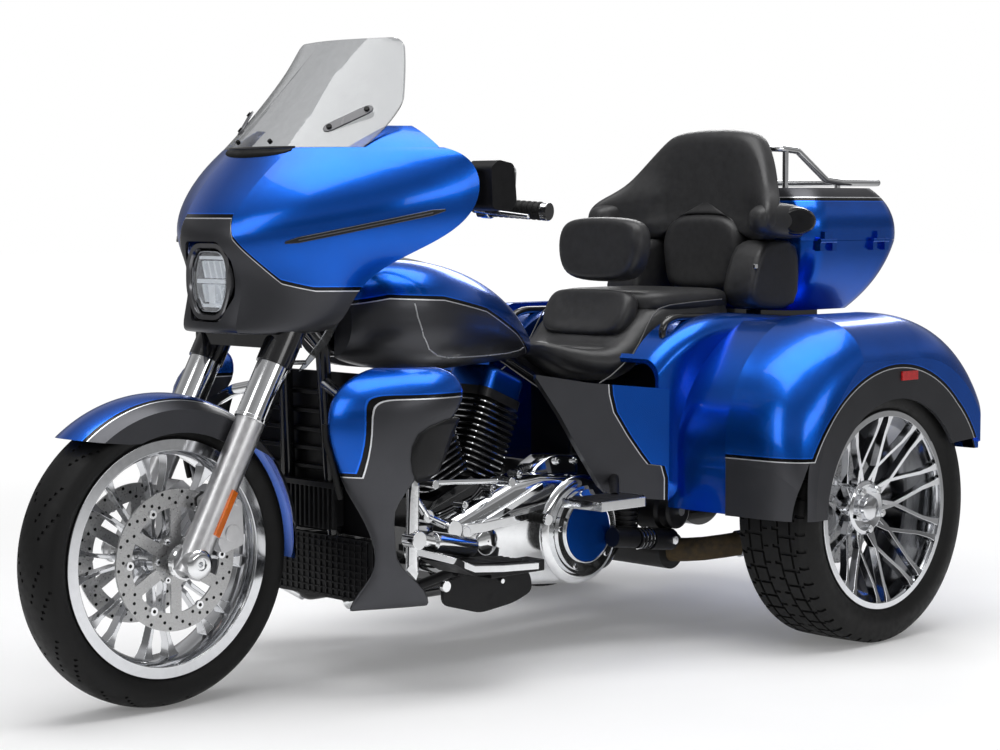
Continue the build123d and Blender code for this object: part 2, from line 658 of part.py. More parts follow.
def primary_cover():
    """Polished primary case round the clutch and the crank end, with a raised hump."""
    x0, z0 = CLUTCH
    x1, z1 = CRANK[0] + 26, CRANK[1] - 8
    ends = [wheel_disc(x0, PRIMARY_INNER_Y, PRIMARY_OUTER_Y, z0, PRIMARY_REAR_RADIUS)]
    ends.append(wheel_disc(x1, PRIMARY_INNER_Y, PRIMARY_OUTER_Y - 6, z1, PRIMARY_FRONT_RADIUS))
    web = [(x0, z0 + PRIMARY_REAR_RADIUS - 1), (x1, z1 + PRIMARY_FRONT_RADIUS - 1)]
    web += [(x1, z1 - PRIMARY_FRONT_RADIUS + 1), (x0, z0 - PRIMARY_REAR_RADIUS + 1)]
    ends.append(side_prism(web, PRIMARY_INNER_Y, PRIMARY_OUTER_Y - 20))
    hump = [(-40, 80), (-30, 172), (60, 182), (118, 150), (150, 60)]
    hump = [(x0 + a, z0 + b) for a, b in hump]
    ends.append(side_prism(hump, PRIMARY_INNER_Y, PRIMARY_OUTER_Y - 48, 16))
    return ends[0].fuse(*ends[1:])


SIDE_PIPE_Y = 188.0


def build_engine():
    """Engine, covers and the pieces bolted to it."""
    x0, z0 = CLUTCH
    y = PRIMARY_OUTER_Y
    PARTS["frame_tubes"] = frame_tubes()
    PARTS["engine_block"] = engine_block()
    barrels = [cylinder_barrel(-CYLINDER_TILT), cylinder_barrel(CYLINDER_TILT)]
    PARTS["cylinders"] = Compound(children=barrels)
    covers = [rocker_cover(-CYLINDER_TILT), rocker_cover(CYLINDER_TILT)]
    PARTS["rocker_covers"] = Compound(children=covers)
    PARTS["primary_cover"] = primary_cover()
    ring = wheel_disc(x0, y, y + 10, z0, DERBY_RADIUS)
    ring += wheel_disc(x0, y + 10, y + 16, z0, DERBY_RADIUS - 8)
    PARTS["derby_cover"] = ring
    PARTS["derby_insert"] = wheel_disc(x0, y + 16, y + 20, z0, DERBY_RADIUS - 29)
    cam = wheel_disc(CRANK[0] + 8, -150, -96, CRANK[1] - 4, 92)
    cam += side_prism([(120, 330), (290, 330), (276, 400), (134, 400)], -136, -96, 14)
    tilt = CYLINDER_TILT
    for lean, spread in ((-tilt, -34), (-tilt, -8), (tilt, 8), (tilt, 34)):
        foot = (CRANK[0] + spread, -118, CRANK[1] + 70)
        top = on_cylinder(lean, HEAD_END - 8).origin
        cam += rod(foot, (top.X + spread * 0.6, -104, top.Z), 11)
    PARTS["cam_cover"] = cam - PARTS["cylinders"] - PARTS["engine_block"]
    cleaner = rod((CRANK[0], -210, 566), (CRANK[0], -132, 566), 88)
    cleaner += rod((CRANK[0], -132, 566), (CRANK[0], -FIN_WIDTH / 2, 566), 64)
    PARTS["air_cleaner"] = cleaner - PARTS["cylinders"] - PARTS["cam_cover"] - PARTS["rocker_covers"]
    PARTS["exhaust"] = exhaust()


def exhaust():
    """Headers on the right, a collector under the gearbox and a silencer below each side of the body."""
    y = -SIDE_PIPE_Y
    front = on_cylinder(CYLINDER_TILT, HEAD_END - 62).origin
    route = [(front.X + 56, -40, front.Z), (430, -120, 528), (420, y, 440), (330, y, 232), (0, y, 222)]
    pipe = tube(route, 23, 40)
    rear = on_cylinder(-CYLINDER_TILT, HEAD_END - 62).origin
    route = [(rear.X - 56, -40, rear.Z), (-24, -150, 528), (-52, y, 440), (-80, y, 222)]
    pipe += tube(route, 23, 40)
    pipe += rod((40, y, 222), (-400, y, 204), 34)
    pipe += rod((-400, y - 10, 200), (-400, 190, 200), 46)
    for side in (-1, 1):
        route = [(-400, 170, 200), (-440, 250, 205), (-520, 322, 220), (-640, 330, 226)]
        pipe += tube([(px, side * py, pz) for px, py, pz in route], 26, 50)
        pipe += rod((-560, side * 330, 226), (-1090, side * 330, 236), 40)
    return pipe - PARTS["cylinders"] - PARTS["cam_cover"] - PARTS["rocker_covers"] - PARTS["frame_tubes"]


# Panels round the engine
LEG_WALL = 12.0
# Plan sections of the left leg fairing: height, front (x, y), middle (x, y), rear (x, y)
LEG_ROWS = [
    (196.0, (722.0, 262.0), (640.0, 304.0), (546.0, 336.0)),
    (250.0, (720.0, 266.0), (644.0, 318.0), (562.0, 346.0)),
    (350.0, (726.0, 272.0), (676.0, 336.0), (626.0, 366.0)),
    (450.0, (742.0, 272.0), (692.0, 348.0), (630.0, 384.0)),
    (560.0, (772.0, 268.0), (706.0, 364.0), (590.0, 402.0)),
    (646.0, (774.0, 268.0), (700.0, 372.0), (506.0, 408.0)),
    (684.0, (746.0, 272.0), (682.0, 358.0), (510.0, 402.0)),
    (706.0, (712.0, 286.0), (660.0, 344.0), (528.0, 388.0)),
    (720.0, (676.0, 304.0), (638.0, 336.0), (560.0, 364.0)),
]


def leg_fairing():
    """Left leg fairing: a curved shell, narrow at the shin and wide at the knee, rolled in at its roof."""
    lean = 0.75 * LEG_WALL
    return loft([Pos(0, 0, z) * arc_strip(*row, (-lean, -lean)) for z, *row in LEG_ROWS])


def tank():
    """Fuel tank: rounded sections from the steering head back to the saddle, open below for the backbone."""
    # Columns: x, half width, bottom, top
    table = [
        (562.0, 96.0, 720.0, 880.0),
        (500.0, 160.0, 700.0, 926.0),
        (400.0, 196.0, 686.0, 936.0),
        (280.0, 188.0, 684.0, 918.0),
        (150.0, 150.0, 688.0, 876.0),
        (30.0, 96.0, 692.0, 808.0),
        (-46.0, 46.0, 700.0, 748.0),
    ]
    rows = []
    for x, half, low, high in table:
        plane = Plane(origin=(x, 0, (low + high) / 2), x_dir=(0, 1, 0), z_dir=(1, 0, 0))
        rows.append(plane * RectangleRounded(2 * half, high - low, 0.46 * min(2 * half, high - low)))
    return loft(rows)


def panel_between(start, end, low, high, wall):
    """Upright panel between two plan points (x, y)."""
    run = Vector(end[0] - start[0], end[1] - start[1], 0)
    side = run.normalized().cross(Vector(0, 0, 1)) * wall
    points = [start, end, (end[0] - side.X, end[1] - side.Y), (start[0] - side.X, start[1] - side.Y)]
    return plan_prism(points, low, high)


def side_cover():
    """Left side cover between the tank and the rear body."""
    skin = panel_between((66, 176), (-246, 317), 350, 664, 14)
    cut = [(70, 664), (10, 566), (-43, 466), (-84, 394), (-112, 366), (-250, 352), (-250, 620), (-60, 640)]
    return skin & side_prism(cut, 100, 400)


def build_panels():
    """Leg fairings, tank, side covers, boards and guards."""
    PARTS["leg_fairings"] = both_sides(leg_fairing())
    bar = [(617, 70, 668), (660, 200, 640), (640, 316, 600), (600, 340, 470), (598, 334, 250)]
    bar += [(560, CRADLE_Y, CRADLE_Z)]
    guard = tube(bar, 14, 40) - PARTS["frame_tubes"] - PARTS["leg_fairings"]
    PARTS["engine_guard"] = both_sides(max(guard.solids(), key=lambda s: s.volume))
    box = front_prism([(282, 480), (420, 470), (420, 660), (292, 672)], 566, 640, 12)
    box = box - PARTS["engine_guard"] - PARTS["leg_fairings"]
    PARTS["leg_boxes"] = both_sides(max(box.solids(), key=lambda s: s.volume))
    fins = [block(588, 622, -96, 96, 354 + 12 * i, 360 + 12 * i) for i in range(7)]
    ends = [block(588, 616, -96, -84, 350, 436), block(588, 616, 84, 96, 350, 436)]
    cooler = fins[0].fuse(*fins[1:], *ends)
    PARTS["oil_cooler"] = cooler - PARTS["frame_tubes"]
    points = [(-150, 190), (150, 190), (250, 240), (250, 330), (-250, 330), (-250, 240)]
    grille = front_prism(points, 604, 616, 14)
    PARTS["lower_grille"] = grille - PARTS["frame_tubes"] - PARTS["engine_guard"]
    tunnel = [(700, 640), (700, 790), (520, 776), (20, 746), (-60, 712), (-60, 640)]
    hollow = side_prism(tunnel, -TANK_TUNNEL, TANK_TUNNEL)
    PARTS["fuel_tank"] = tank() - hollow - PARTS["rocker_covers"] - PARTS["frame_tubes"]
    console = plan_prism([(480, -40), (480, 40), (60, 30), (60, -30)], 780, 980, 14)
    upper = Pos(0, 0, 8) * tank()
    PARTS["tank_console"] = (console & upper) - tank()
    PARTS["side_covers"] = both_sides(side_cover())
    board = side_prism([(534, 292), (480, 262), (292, 250), (292, 264), (476, 276), (526, 304)], 290, 404)
    for x in (440, 404):
        board += rod((x, CRADLE_Y, CRADLE_Z), (x, 300, 256), 11)
    board = board - PARTS["frame_tubes"]
    PARTS["rider_footboards"] = both_sides(max(board.solids(), key=lambda s: s.volume))
    step = plan_prism([(108, 312), (100, 424), (-36, 424), (-60, 400), (-60, 312)], 374, 388, 12)
    step += rod((-30, 340, 381), (-118, 256, 410), 12)
    step = step - PARTS["side_covers"]
    PARTS["passenger_footboards"] = both_sides(max(step.solids(), key=lambda s: s.volume))


# Rear body
# Sections of the panel beside the trunk and of the fender outside it: y, front x, rear x, top z
PANEL_ROWS = [
    (250.0, -274.0, -1000.0, 774.0),
    (490.0, -278.0, -1000.0, 778.0),
]
FLARE_ROWS = [
    (482.0, -260.0, -1016.0, 794.0),
    (590.0, -268.0, -1012.0, 786.0),
    (664.0, -288.0, -1004.0, 750.0),
    (FENDER_FACE_Y, -330.0, -990.0, 690.0),
]
FENDER_LOW = 330.0


def fender_loft(table):
    """Solid through side-view sections that share one arched outline."""
    rows = []
    for y, front, rear, top in table:
        crown_front, crown_rear = REAR_AXLE_X + 140, REAR_AXLE_X - 90
        edges = [
            Line((rear, FENDER_LOW), (front, FENDER_LOW)),
            Line((front, FENDER_LOW), (front, top - 340)),
            ThreePointArc((front, top - 340), (front - 66, top - 112), (crown_front, top)),
            Line((crown_front, top), (crown_rear, top)),
            ThreePointArc((crown_rear, top), (rear + 106, top - 44), (rear, top - 152)),
            Line((rear, top - 152), (rear, FENDER_LOW)),
        ]
        plane = Plane(origin=(0, y, 0), x_dir=(1, 0, 0), z_dir=(0, -1, 0))
        rows.append(plane * make_face(edges))
    return loft(rows)


def fender_dome():
    """Solid of the left rear fender and its inner panel, before the wheel's space is cut out of it."""
    return fender_loft(PANEL_ROWS) + fender_loft(FLARE_ROWS)


# Cross sections of the middle of the rear body: x, half width, bottom, top
BODY_ROWS = [
    (-226.0, 300.0, 372.0, 690.0),
    (-330.0, 330.0, 330.0, 770.0),
    (-640.0, 334.0, 320.0, 784.0),
    (-1000.0, 334.0, 320.0, 764.0),
    (-1170.0, 326.0, 340.0, 716.0),
]
TRUNK_FRONT_X = -790.0
TRUNK_REAR_X = -1170.0
TRUNK_FLOOR_Z = 352.0


def body_loft(shrink):
    """Middle of the rear body, drawn in by shrink at its sides and top."""
    rows = []
    for x, half, low, high in BODY_ROWS:
        plane = Plane(origin=(x, 0, (low + high - shrink) / 2), x_dir=(0, 1, 0), z_dir=(1, 0, 0))
        rows.append(plane * RectangleRounded(2 * (half - shrink), high - low - shrink, 44))
    return loft(rows)


def rear_body():
    """Rear body: two fenders, the housing over the axle and the trunk, all one hollow shell."""
    x, z = REAR_AXLE_X, REAR_TYRE_RADIUS
    dome = fender_dome()
    body = body_loft(0.0) + dome + other_side(dome)
    inner = body_loft(BODY_WALL)
    front_space = inner & block(TRUNK_FRONT_X + BODY_WALL, 0, -400, 400, 0, 720)
    front_space += block(TRUNK_FRONT_X + BODY_WALL, -200, -290, 290, 200, 640)
    body -= front_space
    trunk = inner & block(TRUNK_REAR_X + BODY_WALL, TRUNK_FRONT_X, -400, 400, TRUNK_FLOOR_Z, 900)
    body -= trunk
    inside, face, beyond = 438.0, FENDER_FACE_Y - 11, FENDER_FACE_Y + 62
    space = wheel_disc(x, inside, face + 1, z, WHEEL_WELL_RADIUS)
    space += wheel_disc(x, face, beyond, z, ARCH_RADIUS)
    space += wheel_disc(x, 280.0, inside + 2, z, 90.0)
    arch = [(x - 40, 200), (x - 40, z + 120), (x - 240, z + 150), (x - 330, 480), (x - 400, 440)]
    arch += [(x - 400, 200)]
    space += side_prism(arch, face, beyond)
    tail = [(x - 420, 200), (x - 420, 452), (x - 330, 452), (x - 200, 330), (x - 200, 200)]
    space += side_prism(tail, inside, beyond)
    return body - space - other_side(space)


# Cross sections of the saddle: x, half width, bottom, top
SADDLE_ROWS = [
    (-58.0, 62.0, 690.0, 742.0),
    (-120.0, 126.0, 646.0, 722.0),
    (-200.0, 174.0, 622.0, 714.0),
    (-266.0, 190.0, 630.0, 754.0),
    (-326.0, 190.0, 690.0, 842.0),
    (-440.0, 190.0, 716.0, 850.0),
    (-580.0, 190.0, 730.0, 848.0),
    (-672.0, 182.0, 744.0, 836.0),
]


def saddle():
    """Two-step saddle: a low bucket for the rider and a higher seat behind it."""
    rows = []
    for x, half, low, high in SADDLE_ROWS:
        plane = Plane(origin=(x, 0, (low + high) / 2), x_dir=(0, 1, 0), z_dir=(1, 0, 0))
        rows.append(plane * RectangleRounded(2 * half, high - low, 0.4 * (high - low)))
    return loft(rows)


BOX_FRONT_X = -832.0
BOX_REAR_X = -1240.0
BOX_LOW_Z = 784.0
BOX_TOP_Z = 1106.0
# Plan sections of the top box: height, front x, rear x, half width
BOX_ROWS = [
    (BOX_LOW_Z, BOX_FRONT_X - 24.0, BOX_REAR_X + 96.0, 0.68 * BOX_HALF_WIDTH),
    (0.4 * BOX_LOW_Z + 0.6 * BOX_SEAM_Z, BOX_FRONT_X, BOX_REAR_X + 26.0, 0.93 * BOX_HALF_WIDTH),
    (BOX_SEAM_Z, BOX_FRONT_X, BOX_REAR_X, BOX_HALF_WIDTH),
]
LID_ROWS = [
    (BOX_SEAM_Z, BOX_FRONT_X, BOX_REAR_X, BOX_HALF_WIDTH),
    (0.45 * BOX_SEAM_Z + 0.55 * BOX_TOP_Z, BOX_FRONT_X - 4.0, BOX_REAR_X + 12.0, 0.98 * BOX_HALF_WIDTH),
    (BOX_TOP_Z, BOX_FRONT_X - 34.0, BOX_REAR_X + 46.0, 0.82 * BOX_HALF_WIDTH),
]
LID_GAP = 0.4


def box_loft(table, shrink, low_cut, high_cut, corner=70.0):
    """Rounded box through plan sections, drawn in by shrink, its ends moved by the two cuts."""
    rows = []
    for i, (z, front, rear, half) in enumerate(table):
        z += low_cut if i == 0 else 0.0
        z -= high_cut if i == len(table) - 1 else 0.0
        shape = RectangleRounded(front - rear - 2 * shrink, 2 * (half - shrink), corner - shrink)
        rows.append(Pos((front + rear) / 2, 0, z) * shape)
    return loft(rows)


# Plan sections of the passenger's backrest: height, front x, rear x, half width
BACK_ROWS = [
    (962.0, -712.0, -824.0, 250.0),
    (1050.0, -722.0, -824.0, 262.0),
    (1108.0, -736.0, -824.0, 244.0),
    (1168.0, -748.0, -824.0, 204.0),
    (1232.0, -758.0, -824.0, 158.0),
    (1258.0, -770.0, -816.0, 128.0),
]
LOW_PAD_HALF = [(112, 832), (138, 950), (138, 988), (98, 1036)]


def passenger_backrest():
    """Tall backrest with broad shoulders, and a lower pad in front of it."""
    points = LOW_PAD_HALF + [(-py, pz) for py, pz in reversed(LOW_PAD_HALF)]
    rest = box_loft(BACK_ROWS, 0.0, 0.0, 0.0, 22.0)
    return rest + front_prism(points, -800, -702, 20)


HINGE_RADIUS = 6.0
BOX_HINGE_Y = BOX_HALF_WIDTH + 8.0
BOX_HINGES_X = (BOX_FRONT_X - 60.0, BOX_REAR_X + 122.0)


def box_knuckle(x0, x1, z0, z1):
    """Piece of the lid's hinge: a barrel on the hinge line and the strap that carries it."""
    barrel = rod((x0, BOX_HINGE_Y, BOX_SEAM_Z), (x1, BOX_HINGE_Y, BOX_SEAM_Z), HINGE_RADIUS)
    return barrel + block(x0, x1, BOX_HINGE_Y - 16, BOX_HINGE_Y + 3, z0, z1)


def top_box():
    """Open lower half of the top box, with the outer barrels of its hinges on the left."""
    box = box_loft(BOX_ROWS, 0.0, 0.0, LID_GAP) - box_loft(BOX_ROWS, BOX_WALL, BOX_WALL, -1.0)
    for x in BOX_HINGES_X:
        for start in (x - 34, x + 17):
            box += box_knuckle(start, start + 17, BOX_SEAM_Z - 26, BOX_SEAM_Z - LID_GAP)
    return box


def top_box_lid():
    """Hollow lid, with the middle barrels of its two hinges on the left."""
    lid = box_loft(LID_ROWS, 0.0, LID_GAP, 0.0) - box_loft(LID_ROWS, BOX_WALL, -1.0, BOX_WALL)
    for x in BOX_HINGES_X:
        lid += box_knuckle(x - 16, x + 16, BOX_SEAM_Z + LID_GAP, BOX_SEAM_Z + 24)
    return lid


def luggage_rack():
    """Chrome rack on the lid: a raised hoop behind the backrest that runs down to a flat carrier."""
    z, high = BOX_TOP_Z + 16, BOX_TOP_Z + 104
    front, rear = BOX_FRONT_X - 38, REAR_END_X + 9
    points = [(front, 0, high), (front, 140, high), (front - 80, 140, high - 6), (front - 200, 142, z + 6)]
    points += [(front - 260, 146, z), (rear, 128, z), (rear, 0, z)]
    rail = tube(points, 9, 30)
    rack = rail + other_side(rail)
    for x in (front - 280, front - 370):
        rack += rod((x, -140, z), (x, 140, z), 7)
    for side in (-1, 1):
        rack += rod((front - 30, side * 140, BOX_TOP_Z), (front - 30, side * 140, high - 2), 8)
        rack += rod((front - 280, side * 120, BOX_TOP_Z), (front - 280, side * 120, z), 8)
    return rack


TRUNK_DOOR_HALF = 300.0
TRUNK_DOOR_LOW = 356.0
TRUNK_DOOR_HIGH = 690.0


def trunk_outline(grow):
    """Front-view outline (y, z) of the trunk's opening, closest to the door along its hinge."""
    w, low, high = TRUNK_DOOR_HALF + grow, TRUNK_DOOR_LOW - grow, TRUNK_DOOR_HIGH + 0.25 * grow
    return [(-w, low), (w, low), (w, high), (-w, high)]


# Barrels of the trunk door's hinge: start y, end y, on the door or on the body
DOOR_BARRELS = [(150.0, 189.0, True), (190.0, 229.0, False), (230.0, 266.0, True)]


def trunk_hinge(on_door):
    """Hinge barrels of the door or of the body, on the door's upper edge."""
    x, z = TRUNK_REAR_X - 12, TRUNK_DOOR_HIGH
    low, high = (z - 20, z) if on_door else (z + 0.6, z + 20)
    barrels = []
    for y0, y1, moving in DOOR_BARRELS:
        if moving == on_door:
            barrels.append(rod((x, y0, z), (x, y1, z), HINGE_RADIUS))
            barrels.append(block(x - 2, x + 13, y0, y1, low, high))
    one = barrels[0].fuse(*barrels[1:])
    return one + other_side(one)


def rear_axle():
    """Axle beam with the differential and a stub in each hub."""
    x, z = REAR_AXLE_X, REAR_TYRE_RADIUS
    hub = REAR_WHEEL_Y + REAR_RIM_WIDTH / 2 - 10 - REAR_DISH
    axle = wheel_disc(x, -hub + 13, hub - 13, z, REAR_BORE)
    axle += wheel_disc(x, -hub + 96, hub - 96, z, 44)
    return axle + wheel_disc(x, -76, 76, z, 96)


def build_rear():
    """Rear body, trunk door, seats, top box and running gear."""
    x, z = REAR_AXLE_X, REAR_TYRE_RADIUS
    body = rear_body()
    body -= block(-720, -150, -212, 212, 700, 900)
    lamp = block(-1030, -946, 604, 680, 596, 652) & fender_dome()
    marker = block(x - 72, x - 8, FENDER_FACE_Y - 6, FENDER_FACE_Y + 4, 640, 662)
    PARTS["rear_lamps"] = both_sides(Compound(children=[lamp, marker]))
    body = body - PARTS["rear_lamps"]
    door = front_prism(trunk_outline(0.0), TRUNK_REAR_X - 12, TRUNK_REAR_X + 2, 30)
    body = body - front_prism(trunk_outline(2.0), TRUNK_REAR_X - 40, TRUNK_REAR_X + 40, 32)
    for side in (-1, 1):
        for y0, y1, moving in DOOR_BARRELS:
            if not moving:
                hinge = (TRUNK_REAR_X - 12, TRUNK_DOOR_HIGH)
                door -= rod((hinge[0], side * (y0 - 1), hinge[1]), (hinge[0], side * (y1 + 1), hinge[1]), 7)
    body = body + trunk_hinge(False)
    PARTS["rear_body"] = body
    PARTS["trunk_door"] = door + trunk_hinge(True)
    PARTS["rear_axle"] = rear_axle()
    arm = block(x + 10, -300, SWING_Y, SWING_Y + 36, 286, 336) - PARTS["frame_tubes"] - PARTS["rear_axle"]
    arm = max(arm.solids(), key=lambda s: s.volume)
    shock = rod((-540, SWING_Y + 18, 336), (-430, SWING_Y + 18, 610), 26)
    shock = max((shock - PARTS["frame_tubes"] - arm - body).solids(), key=lambda s: s.volume)
    PARTS["rear_suspension"] = both_sides(arm + shock)
    caliper = block(x + 84, x + 170, 470, 548, 300, 372)
    disc_y = REAR_WHEEL_Y + REAR_RIM_WIDTH / 2 - 10 - REAR_DISH - 46 - 32
    caliper -= wheel_disc(x, disc_y - 12, disc_y + 12, z, DISC_RADIUS + 2)
    caliper += block(x + 150, x + 170, 438, 480, 310, 362)
    PARTS["rear_calipers"] = both_sides(max(caliper.solids(), key=lambda s: s.volume))
    seat = saddle() - PARTS["frame_tubes"] - PARTS["fuel_tank"] - body
    seat = seat - PARTS["side_covers"]
    PARTS["saddle"] = max(seat.solids(), key=lambda s: s.volume)
    PARTS["side_covers"] = both_sides(max((side_cover() - body).solids(), key=lambda s: s.volume))
    half = [(136, 868), (148, 960), (140, 1004), (108, 1028)]
    pad = front_prism(half + [(-py, pz) for py, pz in reversed(half)], -376, -316, 24)
    pad += rod((-346, 0, 900), (-360, 0, 800), 18)
    PARTS["rider_backrest"] = pad - PARTS["saddle"]
    PARTS["top_box"] = top_box()
    PARTS["top_box_lid"] = top_box_lid()
    PARTS["luggage_rack"] = luggage_rack()
    rest = passenger_backrest() + block(BOX_FRONT_X - 6, -790, -100, 100, 880, 950)
    rest = rest - PARTS["saddle"] - body - PARTS["top_box"]
    PARTS["passenger_backrest"] = max(rest.solids(), key=lambda s: s.volume)
    pod = side_prism([(-574, 984), (-816, 970), (-816, 1062), (-640, 1076), (-570, 1046)], 222, 316, 18)
    PARTS["speaker_pods"] = both_sides(pod - PARTS["passenger_backrest"])
    pocket = side_prism([(-690, 800), (-824, 790), (-824, 976), (-640, 976)], 150, 252, 10)
    pocket = pocket - PARTS["passenger_backrest"] - body - PARTS["top_box"] - PARTS["speaker_pods"]
    PARTS["map_pockets"] = both_sides(max(pocket.solids(), key=lambda s: s.volume))
    mount = block(-1080, -840, 60, 110, 700, BOX_LOW_Z) - body - PARTS["top_box"]
    PARTS["box_mounts"] = both_sides(max(mount.solids(), key=lambda s: s.center().Z))
    handle = tube([(-320, 262, 740), (-320, 274, 806), (-450, 274, 812), (-450, 262, 760)], 10, 22) - body
    PARTS["grab_handles"] = both_sides(max(handle.solids(), key=lambda s: s.volume))


def main():
    """Builds each sub-assembly and writes one file for each piece."""
    build_wheels()
    build_fork()
    build_fairing()
    build_engine()
    build_panels()
    build_rear()
    os.makedirs("parts", exist_ok=True)
    for name, shape in PARTS.items():
        export_step(shape, f"parts/{name}.step")


main()
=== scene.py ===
"""Looks of the motorized trike: paint, chrome, rubber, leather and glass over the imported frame."""

import json
import logging
import math
from collections.abc import Callable, Iterable, Sequence
from dataclasses import dataclass
from enum import Enum

import bmesh
import bpy
from mathutils import Matrix, Vector
from mathutils.bvhtree import BVHTree

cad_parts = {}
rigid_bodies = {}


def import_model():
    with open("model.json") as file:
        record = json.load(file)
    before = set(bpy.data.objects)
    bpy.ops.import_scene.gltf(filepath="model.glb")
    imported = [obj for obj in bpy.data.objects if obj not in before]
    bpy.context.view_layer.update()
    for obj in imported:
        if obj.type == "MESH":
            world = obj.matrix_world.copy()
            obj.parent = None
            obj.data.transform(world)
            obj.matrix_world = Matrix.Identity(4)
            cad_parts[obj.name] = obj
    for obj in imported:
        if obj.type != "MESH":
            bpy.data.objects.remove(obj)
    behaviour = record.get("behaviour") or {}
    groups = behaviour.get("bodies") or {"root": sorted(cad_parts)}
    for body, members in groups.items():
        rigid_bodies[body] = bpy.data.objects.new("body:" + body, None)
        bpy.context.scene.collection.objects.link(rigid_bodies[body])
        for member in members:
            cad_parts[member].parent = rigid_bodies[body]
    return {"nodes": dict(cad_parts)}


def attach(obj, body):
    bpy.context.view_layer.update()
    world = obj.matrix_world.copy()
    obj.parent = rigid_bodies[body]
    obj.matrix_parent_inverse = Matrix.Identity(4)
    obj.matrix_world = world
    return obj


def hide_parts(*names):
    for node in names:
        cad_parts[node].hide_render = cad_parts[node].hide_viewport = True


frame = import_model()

logging.basicConfig(level=logging.INFO, format="%(levelname)s %(message)s")
LOG = logging.getLogger("trike")
Color = tuple[float, float, float]
Point = tuple[float, float, float]
Socket = bpy.types.NodeSocket

# Metres in a millimetre, and the axles in millimetres
MM = 0.001
FRONT_X, FRONT_Z = 1026.0, 319.0
REAR_X, REAR_Y, REAR_Z = -644.0, 566.0, 325.0


class Body(Enum):
    """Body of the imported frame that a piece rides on."""

    CHASSIS = "chassis"
    STEERING = "steering"
    FRONT_WHEEL = "front_wheel"
    LEFT_WHEEL = "rear_wheel_left"
    RIGHT_WHEEL = "rear_wheel_right"
    TRUNK_DOOR = "trunk_door"


class Side(Enum):
    """Side of the trike, with its sign along Y."""

    LEFT = 1
    RIGHT = -1

    @property
    def label(self) -> str:
        """Name of the side in the nodes' names."""
        return self.name.lower()

    @property
    def wheel(self) -> Body:
        """Rear wheel on this side."""
        return Body(f"rear_wheel_{self.label}")


